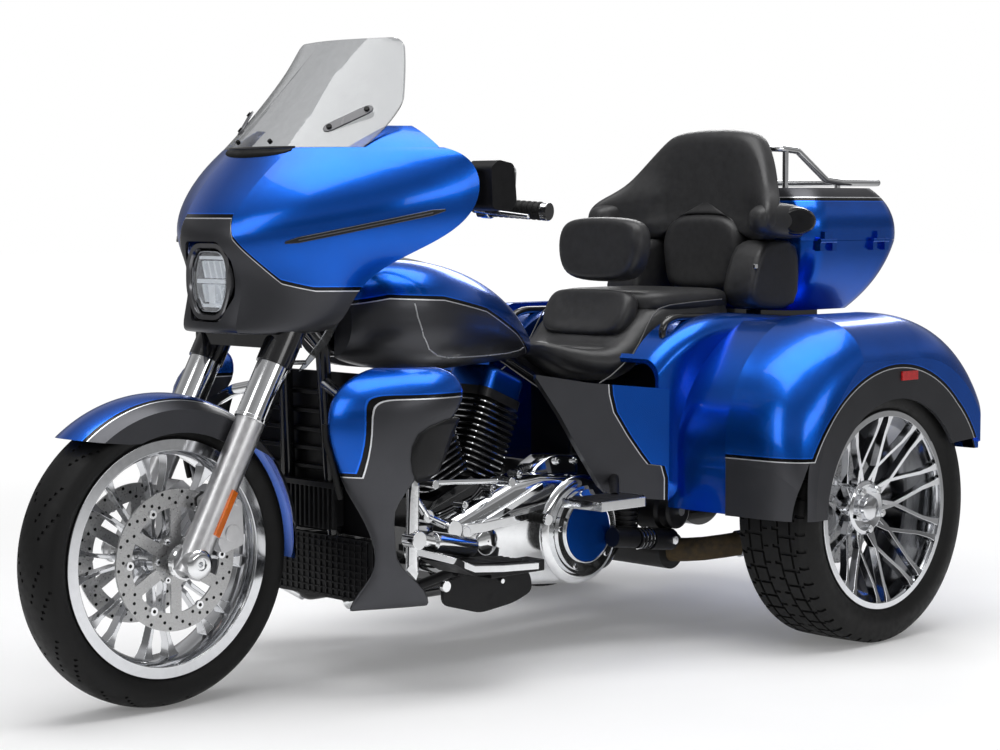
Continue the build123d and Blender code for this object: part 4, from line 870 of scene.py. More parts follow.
def rear_barrel(side: int) -> tuple[tuple[float, float], ...]:
    """Section (y, radius) of a rear barrel, deepest from its outer lip.

    Args:
        side: Sign of the side along Y.

    Returns:
        Points as y and radius.
    """
    rows = [(98, 226), (98, 241), (94, 243), (90, 240), (84, 230), (60, 224), (20, 220), (-40, 216)]
    rows += [(-92, 224), (-98, 226), (-98, 240), (-92, 234), (90, 234), (98, 226)]
    return tuple((side * (REAR_Y + y), r) for y, r in rows)


def rear_hub(side: int) -> tuple[tuple[float, float], ...]:
    """Section (y, radius) of a rear hub with its centre cap.

    Args:
        side: Sign of the side along Y.

    Returns:
        Points as y and radius.
    """
    rows = [(-44, 32), (-44, 70), (30, 70), (40, 66), (44, 58), (40, 34), (42, 32), (54, 30)]
    rows += [(58, 24), (60, 0.5)]
    return tuple((side * (REAR_Y + y), r) for y, r in rows)


def rear_spokes(side: int) -> tuple[tuple[float, float, float, float, float], ...]:
    """Stations of a rear spoke, which rises out of the dish to the outer lip.

    Args:
        side: Sign of the side along Y.

    Returns:
        Radius, angle, y, width and thickness of each station.
    """
    rows = [(60, 27, 26, 13, 20), (100, 19, 36, 11, 20), (140, 11, 52, 10, 20), (180, 6.4, 68, 10, 22)]
    rows += [(212, 5.2, 80, 13, 24), (228, 5.0, 86, 20, 22)]
    return tuple((r, a, side * (REAR_Y + y), w, d) for r, a, y, w, d in rows)


@dataclass(frozen=True)
class Wheels:
    """Tyres and polished wheels of all three axle ends: radius and width, and steps or spoke pairs."""

    front_tyre: tuple[float, float] = (FRONT_Z, 132.0)
    front_rim: tuple[float, float] = (254.0, 108.0)
    rear_tyre: tuple[float, float] = (REAR_Z, 214.0)
    rear_rim: tuple[float, float] = (243.0, 196.0)
    tread_steps: tuple[int, int] = (288, 240)
    pairs: tuple[int, int] = (8, 10)

    def front(self) -> None:
        """Front tyre and wheel."""
        body, steps, pairs = Body.FRONT_WHEEL, self.tread_steps[0], self.pairs[0]
        Tyre("front_tyre", body, FRONT_X, 0.0, *self.front_tyre, *self.front_rim, steps).build()
        sections = (FRONT_SPOKES, FRONT_HUB, FRONT_BARREL)
        Wheel("front_rim", body, FRONT_X, 0.0, FRONT_Z, *self.front_rim, pairs, *sections).build()

    def rear(self, side: Side) -> None:
        """Rear tyre and wheel of one side.

        Args:
            side: Side of the trike.
        """
        at, steps, pairs = side.value * REAR_Y, self.tread_steps[1], self.pairs[1]
        sizes = (*self.rear_tyre, *self.rear_rim, steps)
        Tyre(f"rear_tyre_{side.label}", side.wheel, REAR_X, at, *sizes, wide=True).build()
        sections = (rear_spokes(side.value), rear_hub(side.value), rear_barrel(side.value))
        place = (REAR_X, at, REAR_Z)
        Wheel(f"rear_rim_{side.label}", side.wheel, *place, *self.rear_rim, pairs, *sections).build()

    def build(self) -> None:
        """All rolling pieces that show."""
        self.front()
        for side in Side:
            self.rear(side)


def fork_x(z: float) -> float:
    """X of a fork leg's middle at a height."""
    return 1020.0 - math.tan(math.radians(28.7)) * (z - 319.0)


def surface_of(name: str) -> BVHTree:
    """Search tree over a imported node's surface, in metres."""
    mesh = frame["nodes"][name].data
    return BVHTree.FromPolygons([v.co for v in mesh.vertices], [p.vertices for p in mesh.polygons])


def rounded(
    points: Sequence[tuple[float, float]], radius: float, steps: int = 4,
) -> list[tuple[float, float]]:
    """Closed outline with its corners rounded.

    Args:
        points: Corners.
        radius: Reach of the rounding along each side.
        steps: Steps in each corner.

    Returns:
        The rounded outline.
    """
    result = []
    count = len(points)
    for i, corner in enumerate(points):
        here = Vector(corner)
        before, after = Vector(points[i - 1]) - here, Vector(points[(i + 1) % count]) - here
        start = here + before.normalized() * min(radius, before.length * 0.45)
        end = here + after.normalized() * min(radius, after.length * 0.45)
        for k in range(steps + 1):
            t = k / steps
            spot = start * ((1 - t) ** 2) + here * (2 * t * (1 - t)) + end * (t * t)
            result.append((spot.x, spot.y))
    return result


@dataclass(frozen=True)
class Headlamp:
    """Lamp unit in the fairing's nose: a dark bezel, a bowl, bright bars and blades with a painted glow, and
    a clear lens.
    """

    height: float = 896.0
    half_width: float = 77.0
    half_height: float = 84.0
    face: float = 876.0
    bars: tuple[tuple[float, float, float], ...] = ((0.60, 0.62, 7.0), (0.0, 0.70, 9.0), (-0.62, 0.44, 7.0))

    def outline(self, x: float, scale: float) -> list[tuple[float, float, float]]:
        """Outline of the lamp at a depth, shrunk about its middle.

        Args:
            x: Depth of the outline.
            scale: Share of the full size.

        Returns:
            The outline.
        """
        w, h = self.half_width, self.half_height
        points = [(-w, -0.3 * h), (-0.6 * w, -h), (0.6 * w, -h), (w, -0.3 * h), (w, 0.5 * h), (0.66 * w, h)]
        points += [(-0.66 * w, h), (-w, 0.5 * h)]
        return [(x, y * scale, self.height + z * scale) for y, z in rounded(points, 26.0)]

    def build(self) -> None:
        """All pieces of the lamp."""
        x = self.face
        bezel = Form()
        rows = [(x - 20, 1.0), (x + 6, 1.0), (x + 9, 0.97), (x + 8, 0.86), (x - 2, 0.80), (x - 20, 0.78)]
        bezel.skin([self.outline(at, k) for at, k in rows], caps=False)
        bezel.place("lamp_bezel", DARK_CHROME, Body.STEERING, "lamp", ("headlamp",), sharp=30.0)
        bowl = Form()
        rows = [(x - 6, 0.80), (x - 40, 0.70), (x - 54, 0.40)]
        bowl.skin([self.outline(at, k) for at, k in rows])
        mouth = [f for f in bowl.bm.faces if f.calc_center_median().x > x - 7]
        bmesh.ops.delete(bowl.bm, geom=mouth, context="FACES")
        bowl.place("lamp_bowl", DARK_CHROME, Body.STEERING, "lamp", wall=2.0)
        bars = Form()
        for up, wide, tall in self.bars:
            z, half = self.height + up * self.half_height, wide * self.half_width
            bars.block((x - 34, -half, z - tall / 2), (x - 6, half, z + tall / 2))
        for row, low, high in ((0.30, 6, 44), (-0.32, -46, -6)):
            for i in range(5):
                y = -40 + 20 * i
                lean = Matrix.Rotation(math.radians(18), 4, "X")
                bars.block((x - 36, y - 3, self.height + low), (x - 14, y + 3, self.height + high), lean)
        bars.block((x - 30, -16, self.height - 48), (x - 9, 6, self.height - 8))
        # The bars glow faintly as a painted highlight.
        bars.place("lamp_bars", LAMP_METAL, Body.STEERING, "lamp", bevel=1.2)
        lens = Form()
        rows = [(x - 2, 0.80), (x + 3, 0.74), (x + 5, 0.5), (x + 6, 0.2)]
        lens.skin([self.outline(at, k) for at, k in rows])
        back = [f for f in lens.bm.faces if len(f.verts) > 4 and f.calc_center_median().x < x]
        bmesh.ops.delete(lens.bm, geom=back, context="FACES_ONLY")
        lens.place("lamp_lens", CLEAR, Body.STEERING, "lamp", wall=2.0)


@dataclass(frozen=True)
class FrontEnd:
    """Dressing of the fork, brakes, fairing and windshield, all on the steering body or the front wheel."""

    fork_y: float = 120.0
    sleeve: tuple[float, float] = (608.0, 718.0)
    axle: tuple[float, float] = (FRONT_X, FRONT_Z)
    disc_face: float = 73.6
    holes: int = 54
    carrier_bolts: int = 6

    def leg(self, z: float) -> Vector:
        """Point on the left leg's middle line."""
        return Vector((fork_x(z), self.fork_y, z))

    def fork(self) -> None:
        """Bright sleeves, dust caps, reflectors and axle nuts."""
        low, high = self.sleeve
        form = Form()
        form.cylinder(self.leg(low), self.leg(high), 35.0, 40)
        form.cylinder(self.leg(low - 5), self.leg(low + 3), 36.5, 40)
        form.both_sides()
        form.place("fork_sleeves", CHROME, Body.STEERING, "chrome", bevel=1.5)
        along = (self.leg(700) - self.leg(400)).normalized()
        back = Vector((along.z, 0, -along.x)) * -1.0
        out = (back * 0.34 + Vector((0, 0.94, 0))).normalized()
        form = Form()
        stations = [(self.leg(z) + out * 32.5, along.cross(out), out, 21.0, 6.0) for z in (377, 424, 468)]
        form.bar(stations)
        form.both_sides()
        form.place("reflectors", AMBER, Body.STEERING, "lamp", bevel=2.0)
        x, z = self.axle
        nut = Form()
        cap = [(153, 8), (153, 30), (157, 31), (162, 27), (164, 20), (164, 13), (158, 12), (158, 8)]
        nut.lathe(cap, x, z, 36)
        nut.lathe([(96, 34), (98, 38), (110, 38), (112, 34)], x, z, 36)
        nut.both_sides()
        nut.place("axle_nuts", CHROME, Body.STEERING, "chrome")

    def brakes(self) -> None:
        """Drilled discs, carrier bolts and the bolts of the calipers."""
        x, z = self.axle
        # The drilled holes and the bolt sockets are thin near-black discs on the faces: painted shade, not
        # openings.
        holes, bolts = Form(), Form()
        for i in range(self.holes):
            turn = math.tau * i / self.holes
            r = (121.0, 132.5, 144.0)[i % 3]
            spot = Vector((x + r * math.sin(turn), 0, z + r * math.cos(turn)))
            for y in (self.disc_face, self.disc_face - 5.6):
                holes.cylinder(spot + Vector((0, y - 0.3, 0)), spot + Vector((0, y + 0.3, 0)), 3.6, 10)
        for i in range(self.carrier_bolts):
            turn = math.tau * (i + 0.5) / self.carrier_bolts
            for r, size in ((117.0, 9.5), (46.0, 7.0)):
                spot = Vector((x + r * math.sin(turn), self.disc_face, z + r * math.cos(turn)))
                bolts.cylinder(spot - Vector((0, 4, 0)), spot + Vector((0, 3.5, 0)), size, 18)
                holes.cylinder(spot + Vector((0, 3, 0)), spot + Vector((0, 3.9, 0)), size * 0.45, 6)
        holes.both_sides()
        holes.place("disc_hole_shade", BLACK_AND_SHADE, Body.FRONT_WHEEL, "disc_steel")
        bolts.both_sides()
        bolts.place("disc_bolts", CHROME, Body.FRONT_WHEEL, "disc_steel", bevel=0.8)
        caliper = Form()
        for bx, bz, size in ((902, 366, 19), (922, 418, 19), (888, 430, 8), (944, 448, 8), (934, 352, 8)):
            caliper.cylinder((bx, 100, bz), (bx, 108.5, bz), size, 24)
        caliper.both_sides()
        caliper.place("caliper_caps", ALLOY, Body.STEERING, "satin_alloy", bevel=1.5)

    def slot(self) -> None:
        """Painted shade for the air slot between fairing and windshield: a dark sheet, with a lip over it."""
        tree = surface_of("outer_fairing")
        form = Form()
        rows = []
        for low in (True, False):
            row = []
            for k in range(25):
                y = -114.0 + 9.5 * k
                drop = 17.0 * math.sqrt(max(0.01, 1 - (y / 116.0) ** 2))
                z = 1179.0 - drop if low else 1180.5
                hit = tree.ray_cast(Vector((1000.0, y, z)) * MM, Vector((-1, 0, 0)))[0]
                row.append((hit.x / MM + 1.5 if hit else 760.0, y, z))
            rows.append(row)
        form.skin(rows, closed=False)
        form.place("air_slot_shade", BLACK_AND_SHADE, Body.STEERING, "black_plastic", wall=3.0)
        lip = Form()
        lip.tube([(762.0 - 26.0 * (y / 114.0) ** 2, y, 1183.0) for y in range(-116, 117, 8)], 2.6, 8)
        lip.place("slot_lip", GLOSS_BLACK, Body.STEERING, "black_plastic")

    def lamp_slots(self) -> None:
        """Slim dark lamp slots laid along the wings."""
        tree = surface_of("outer_fairing")
        a, b = Vector((831, 200, 980)), Vector((556, 400, 1049))
        out = Vector((0.58, 0.81, 0.0)).normalized()
        stations = []
        for k in range(13):
            spot = a.lerp(b, k / 12)
            hit = tree.ray_cast((spot + out * 90) * MM, -out)
            if hit[0] is not None:
                width = 13.0 if 0 < k < 12 else 5.0
                stations.append((hit[0] / MM + out * 1.5, Vector((0, 0, 1)), out, width, 9.0))
        form = Form()
        form.bar(stations)
        form.both_sides()
        form.place("lamp_slots", GLOSS_BLACK, Body.STEERING, "lamp", ("light_bars",), bevel=2.0)
        glow = Form()
        glow.bar([(p + out * 4.2, up, o, 2.6, 2.0) for p, up, o, _, _ in stations[1:-1]])
        glow.both_sides()
        glow.place("lamp_strips", SMOKE_GREY, Body.STEERING, "lamp")

    def screen(self) -> None:
        """Adjuster plates, screws and clips of the windshield."""
        out = Vector((0.624, 0.437, 0.649)).normalized()
        a, b = Vector((668, 152, 1222)), Vector((604, 202, 1260))
        along = (b - a).normalized()
        plate, screws = Form(), Form()
        wide = along.cross(out)
        stations = [(a - along * 14, 8.0), (a - along * 8, 20.0), (a, 24.0)]
        stations += [(b, 24.0), (b + along * 8, 20.0), (b + along * 14, 8.0)]
        plate.bar([(spot + out * 5, wide, out, width, 4.0) for spot, width in stations])
        for spot in (a, b):
            screws.cylinder(spot + out * 6, spot + out * 11, 6.0, 16)
        clip = Vector((752.0, 56.0, 1193.0))
        screws.cylinder(clip, clip + Vector((6, 0, 6)), 5.0, 14)
        plate.both_sides()
        plate.place("screen_adjusters", SMOKE_GREY, Body.STEERING, "black_plastic", bevel=1.5)
        screws.both_sides()
        screws.place("screen_screws", BLACK_AND_SHADE, Body.STEERING, "black_plastic", bevel=0.8)

    def build(self) -> None:
        """All of the front end."""
        Headlamp().build()
        self.fork()
        self.brakes()
        self.slot()
        self.lamp_slots()
        self.screen()


@dataclass(frozen=True)
class Cockpit:
    """What the rider sees: display, speakers, grips and mirror glasses."""

    dash: float = 528.0
    speaker_y: float = 236.0
    grip: tuple[tuple[float, float, float], ...] = ((336.0, 314.0, 1054.0), (303.0, 434.0, 1046.2))

    def build(self) -> None:
        """All pieces of the cockpit."""
        glass = Form()
        glass.block((self.dash - 3, -128, 1052), (self.dash + 2, 128, 1138))
        glass.place("display", SCREEN_BLACK, Body.STEERING, "black_plastic", bevel=1.5)
        cones = Form()
        for r, depth in ((58, 10), (50, 13), (20, 16)):
            cones.cylinder((536 - depth + 4, self.speaker_y, 1068), (538, self.speaker_y, 1068), r, 40)
        cones.both_sides()
        cones.place("dash_speakers", PLASTIC, Body.STEERING, "black_plastic", bevel=2.0)
        a, b = (Vector(p) for p in self.grip)
        along = (b - a).normalized()
        rubber, ends = Form(), Form()
        rubber.cylinder(a, b, 19.0, 24)
        for i in range(9):
            spot = a + (b - a) * ((i + 0.5) / 9)
            rubber.cylinder(spot - along * 3.5, spot + along * 3.5, 20.4, 24)
        rubber.both_sides()
        rubber.place("grip_rubbers", RUBBER, Body.STEERING, "black_plastic", bevel=0.8)
        ends.cylinder(b, b + along * 17, 20.5, 24)
        ends.cylinder(a - along * 28, a - along * 3, 25.0, 24)
        ends.both_sides()
        ends.place("grip_ends", CHROME, Body.STEERING, "chrome", bevel=2.5)
        mirror = Form()
        row = rounded([(356, 1066), (422, 1066), (420, 1142), (358, 1142)], 14)
        mirror.skin([[(x - 0.10 * (z - 1066), y, z) for y, z in row] for x in (382, 376)])
        mirror.both_sides()
        mirror.place("mirror_glass", CHROME, Body.STEERING, "chrome")


@dataclass(frozen=True)
class Engine:
    """Dressing of the V-twin: bright fin edges, primary case, linkage, boards, mounts and exhaust wrap."""

    crank: tuple[float, float] = (200.0, 300.0)
    tilt: float = 22.5
    fins: int = 12
    fin_size: tuple[float, float] = (143.6, 169.6)
    clutch: tuple[float, float] = (-62.0, 288.0)
    clutch_radius: float = 134.0
    case_face: float = 205.0
    derby_bolts: int = 5

    def fin_edges(self) -> None:
        """Thin polished plates that show as bright lines round each fin, cut at the middle of the V."""
        x0, z0 = self.crank
        length, width = self.fin_size
        outline = rounded([(-length / 2, -width / 2), (length / 2, -width / 2), (length / 2, width / 2),
                           (-length / 2, width / 2)], 30.0)
        for label, side in (("front", 1), ("rear", -1)):
            form = Form()
            turn = math.radians(self.tilt * side)
            up = Vector((math.sin(turn), 0, math.cos(turn)))
            along = Vector((math.cos(turn), 0, -math.sin(turn)))
            for i in range(1, self.fins + 1):
                middle = Vector((x0, 0, z0)) + up * (118.0 + 15.0 * i + 3.0)
                loop = [middle + along * u + Vector((0, v, 0)) for u, v in outline]
                form.skin([[spot + up * w for spot in loop] for w in (-1.0, 1.0)])
            geom = form.bm.verts[:] + form.bm.edges[:] + form.bm.faces[:]
            cut = bmesh.ops.bisect_plane(form.bm, geom=geom, plane_co=(x0 + 1.5 * side, 0, 0),
                                         plane_no=(-side, 0, 0), clear_outer=True)["geom_cut"]
            edges = [e for e in cut if isinstance(e, bmesh.types.BMEdge)]
            bmesh.ops.holes_fill(form.bm, edges=edges, sides=0)
            form.place(f"fin_edges_{label}", RIM, Body.CHASSIS, "fins")

    def case_outline(self, shrink: float) -> list[tuple[float, float]]:
        """Side view (x, z) of the primary case, drawn in by shrink.

        Args:
            shrink: Distance that the outline is drawn in.

        Returns:
            The outline.
        """
        x, z = self.clutch
        r = self.clutch_radius - shrink
        turns = [math.radians(a) for a in range(84, 271, 6)]
        rear = [(x + r * math.cos(t), z + r * math.sin(t)) for t in turns]
        nose = [(352 + (62 - shrink) * math.cos(t), 286 + (62 - shrink) * math.sin(t))
                for t in (math.radians(a) for a in range(-80, 71, 10))]
        return rear + [(170, 176 + shrink)] + nose + [(150, 420 - shrink), (60, 430 - shrink)]

    def primary(self) -> None:
        """Polished case that tapers to its nose, with a rim round the clutch, a lobe and bolts."""
        y = self.case_face
        form = Form()
        layers = ((97, 0), (y - 42, 0), (y - 24, 4), (y - 14, 12), (y - 10, 22))
        form.skin([[(px, at, pz) for px, pz in self.case_outline(shrink)] for at, shrink in layers])
        x, z = self.clutch
        form.lathe([(y - 30, 133), (y - 8, 131), (y - 1, 124), (y + 1, 116), (y, 104)], x, z, 72)
        form.lathe([(y - 14, 34), (y - 6, 33), (y - 3, 28), (y - 3, 2)], 245, 291, 32)
        lobe = rounded([(-106, 366), (-96, 462), (-4, 470), (58, 440), (92, 348)], 22)
        form.skin([[(px, at, pz) for px, pz in lobe] for at in (97, 150)]
                  + [[(px * 0.94 - 2, 158, 410 + (pz - 410) * 0.94) for px, pz in lobe]])
        rib = [Vector((340, y - 9, 300)), Vector((180, y - 6, 362)), Vector((70, y - 4, 404))]
        wide = Vector((0.36, 0, 0.93))
        form.bar([(spot, wide, Vector((0, 1, 0)), 16, 12) for spot in rib])
        form.place("primary_shell", CHROME, Body.CHASSIS, "chrome", ("primary_cover",), bevel=2.0, sharp=34.0)
        bolts = Form()
        for i in range(self.derby_bolts):
            turn = math.tau * (i + 0.15) / self.derby_bolts
            bx, bz = x + 91 * math.sin(turn), z + 91 * math.cos(turn)
            bolts.cylinder((bx, y + 14, bz), (bx, y + 18.5, bz), 6.5, 16)
        spots = ((300, 378, 176), (212, 408, 176), (126, 434, 176), (-20, 452, 156), (-80, 448, 156),
                 (-196, 246, 186), (-176, 348, 186))
        for bx, bz, at in spots:
            bolts.cylinder((bx, at - 26, bz), (bx, at + 8, bz), 9.0, 16)
            bolts.cylinder((bx, at + 7, bz), (bx, at + 13, bz), 5.5, 6)
        bolts.place("case_bolts", CHROME, Body.CHASSIS, "chrome", bevel=1.2)
        seal = Form()
        seal.lathe([(y + 15, 78), (y + 20.6, 78), (y + 21.4, 76), (y + 20.6, 74), (y + 15, 74)], x, z, 72)
        seal.place("derby_trim", CHROME, Body.CHASSIS, "chrome")

    def linkage(self) -> None:
        """Shift rod, levers, pegs and the black tip of the shift arm."""
        form = Form()
        form.tube([(458, 215, 445), (221, 215, 430)], 6.0, 14)
        form.tube([(527, 250, 437), (479, 250, 376)], 9.0, 14)
        form.tube([(479, 250, 376), (404, 240, 345)], 10.0, 14)
        pivots = ((222, 430, 11), (458, 445, 10), (479, 376, 15), (400, 338, 22), (365, 330, 13))
        for x, z, r in pivots:
            form.cylinder((x, 206, z), (x, 258, z), r, 20)
        ends = (Vector((400, 246, 334)), Vector((300, 246, 334)), Vector((160, 246, 346)))
        widths = (26.0, 22.0, 17.0)
        form.bar([(p, Vector((0.05, 0, 1)), Vector((0, 1, 0)), w, 9) for p, w in zip(ends, widths)])
        form.cylinder((150, 296, 342), (150, 304, 342), 13, 20)
        form.tube([(600, 344, 350), (566, 346, 340), (540, 344, 334)], 15.0, 16)
        form.tube([(548, 344, 336), (540, 343, 335), (404, 304, 306), (396, 302, 304)], 22.0, 20)
        form.cylinder((598, 322, 346), (598, 360, 346), 20, 20)
        form.place("shift_linkage", CHROME, Body.CHASSIS, "chrome", bevel=1.5)
        tip = Form()
        tip.cylinder((150, 236, 342), (150, 296, 342), 11, 20)
        for i in range(4):
            tip.cylinder((150, 246 + 12 * i, 342), (150, 252 + 12 * i, 342), 12.5, 20)
        tip.place("shift_rubber", RUBBER, Body.CHASSIS, "black_plastic")

    def boards(self) -> None:
        """Rider boards with bright edges over black brackets, and the rims of the passenger's boards."""
        path = [(596, 306, 322), (566, 356, 310), (530, 392, 297)]
        path += [(484, 406, 276), (400, 408, 268), (292, 408, 262)]
        top, edge = Form(), Form()
        top.skin([[(x, 288, z + 10), (x, y, z + 10), (x, y, z - 4), (x, 288, z - 4)] for x, y, z in path])
        for i in range(5):
            at = 300 + 20 * i
            top.block((300, at, 270), (474, at + 9, 281), Matrix.Rotation(math.radians(-4), 4, "Y"))
        stations = []
        for i, spot in enumerate(path):
            ahead = Vector(path[min(i + 1, len(path) - 1)]) - Vector(path[max(i - 1, 0)])
            out = Vector((0, 0, 1)).cross(ahead).normalized() * -1.0
            stations.append((Vector(spot) + out * 2 + Vector((0, 0, 2)), Vector((0, 0, 1)), out, 15.0, 7.0))
        edge.bar(stations)
        rim = [(112, 310), (106, 428), (-34, 430), (-66, 404), (-66, 310)]
        stations = []
        for i, (x, y) in enumerate(rim):
            ahead = Vector(rim[min(i + 1, len(rim) - 1)]) - Vector(rim[max(i - 1, 0)])
            out = Vector((ahead.y, -ahead.x, 0)).normalized() * -1.0
            stations.append((Vector((x, y, 379)), Vector((0, 0, 1)), out, 22.0, 7.0))
        edge.bar(stations)
        for form, name, finish, slot in ((top, "board_rubbers", RUBBER, "black_plastic"),
                                         (edge, "board_edges", CHROME, "chrome")):
            form.both_sides()
            form.place(name, finish, Body.CHASSIS, slot, bevel=1.5)
        plate = rounded([(425, 236), (157, 222), (145, 171), (207, 150), (312, 139), (429, 171)], 22)
        bracket = Form()
        bracket.skin([[(x, y, z) for x, z in plate] for y in (238, 248)])
        bracket.block((160, 240, 226), (330, 300, 252))
        bracket.both_sides()
        bracket.place("board_brackets", PLASTIC, Body.CHASSIS, "black_plastic", bevel=2.0)
        bolts = Form()
        for x, z, r in ((424, 214, 13), (250, 206, 6)):
            bolts.cylinder((x, 246, z), (x, 256, z), r, 16)
        bolts.both_sides()
        bolts.place("bracket_bolts", CHROME, Body.CHASSIS, "chrome", bevel=1.2)

    def mounts(self) -> None:
        """Rubber mounts, ribbed linkage behind the case, and the wrapped and clamped exhaust bend."""
        form, bolt = Form(), Form()
        drum = [(150, 40), (160, 52), (228, 52), (236, 44), (262, 44), (268, 36), (268, 10)]
        form.lathe(drum, -340, 312, 40)
        form.tube([(-120, 250, 268), (-196, 250, 258)], 24.0, 20)
        for i in range(4):
            at = -202 - 12 * i
            form.tube([(at, 250, 257 - 1.4 * i), (at - 7, 250, 256 - 1.4 * i)], 25.0, 24)
        form.tube([(-200, 250, 257), (-252, 250, 251)], 19.0, 20)
        form.tube([(-252, 250, 251), (-330, 250, 242)], 27.0, 12)
        for i in range(7):
            at = 268 + 12 * i
            form.cylinder((-208, 206, at), (-208, 206, at + 7), 34, 24)
        form.cylinder((-208, 206, 262), (-208, 206, 352), 29, 24)
        form.place("mounts", PLASTIC, Body.CHASSIS, "black_plastic", bevel=1.2)
        bolt.cylinder((-340, 266, 312), (-340, 276, 312), 11, 16)
        bolt.cylinder((-312, 276, 244), (-312, 282, 244), 10, 16)
        for i in range(4):
            bolt.tube([(-207 - 12 * i, 250, 256), (-209 - 12 * i, 250, 256)], 26.0, 24)
        bolt.place("mount_bolts", CHROME, Body.CHASSIS, "chrome")
        wrap = [(-404, 178, 200), (-424, 220, 203), (-446, 256, 207), (-480, 292, 214), (-512, 314, 219)]
        cover = Form()
        cover.tube(wrap, 29.5, 24)
        cover.both_sides()
        cover.place("pipe_wrap", WRAP, Body.CHASSIS, "exhaust_black")
        clamp = Form()
        clamp.tube([(-508, 312, 218.5), (-532, 323, 221.5)], 33.0, 24)
        clamp.tube([(-530, 323, 221), (-560, 328, 224), (-610, 330, 226)], 28.5, 24)
        clamp.tube([(-566, 329, 225), (-580, 330, 226)], 34.0, 24)
        clamp.both_sides()
        clamp.place("pipe_clamps", CHROME, Body.CHASSIS, "chrome")

    def build(self) -> None:
        """All of the engine's dressing."""
        self.fin_edges()
        self.primary()
        self.linkage()
        self.boards()
        self.mounts()


# Leg fairing by height: front, middle and rear points (x, y) of the arc across it
LEG_ROWS: tuple[tuple[float, tuple[float, float], tuple[float, float], tuple[float, float]], ...] = (
    (194.0, (720.0, 262.0), (640.0, 304.0), (545.0, 336.0)),
    (232.0, (700.0, 272.0), (640.0, 312.0), (558.0, 340.0)),
    (268.0, (676.0, 290.0), (645.0, 318.0), (606.0, 338.0)),
    (305.0, (667.0, 296.0), (662.0, 320.0), (650.0, 338.0)),
    (355.0, (673.0, 288.0), (666.0, 318.0), (648.0, 340.0)),
    (414.0, (702.0, 276.0), (690.0, 320.0), (664.0, 347.0)),
    (455.0, (732.0, 270.0), (704.0, 332.0), (642.0, 370.0)),
    (503.0, (752.0, 268.0), (704.0, 350.0), (612.0, 392.0)),
    (560.0, (774.0, 267.0), (706.0, 364.0), (590.0, 402.0)),
    (604.0, (780.0, 267.0), (704.0, 369.0), (545.0, 406.0)),
    (646.0, (774.0, 268.0), (700.0, 372.0), (506.0, 408.0)),
    (684.0, (746.0, 272.0), (682.0, 358.0), (510.0, 402.0)),
    (706.0, (712.0, 286.0), (660.0, 344.0), (528.0, 388.0)),
    (720.0, (676.0, 304.0), (638.0, 336.0), (560.0, 364.0)),
)
# Leg door by height: x of its front and rear
DOOR_ROWS: tuple[tuple[float, float, float], ...] = (
    (474.0, 626.0, 600.0), (496.0, 640.0, 570.0), (524.0, 648.0, 556.0), (552.0, 648.0, 544.0),
    (578.0, 636.0, 534.0), (594.0, 610.0, 526.0), (606.0, 566.0, 522.0),
)


def arc_through(a: Sequence[float], b: Sequence[float], c: Sequence[float]) -> tuple[Vector, float]:
    """Middle and radius of the circle through three points.

    Args:
        a: First point.
        b: Second point.
        c: Third point.

    Returns:
        The middle and the radius.
    """
    (ax, ay), (bx, by), (cx, cy) = a, b, c
    d = 2 * (ax * (by - cy) + bx * (cy - ay) + cx * (ay - by))
    sa, sb, sc = ax * ax + ay * ay, bx * bx + by * by, cx * cx + cy * cy
    middle = Vector(((sa * (by - cy) + sb * (cy - ay) + sc * (ay - by)) / d,
                     (sa * (cx - bx) + sb * (ax - cx) + sc * (bx - ax)) / d))
    return middle, (Vector(a) - middle).length


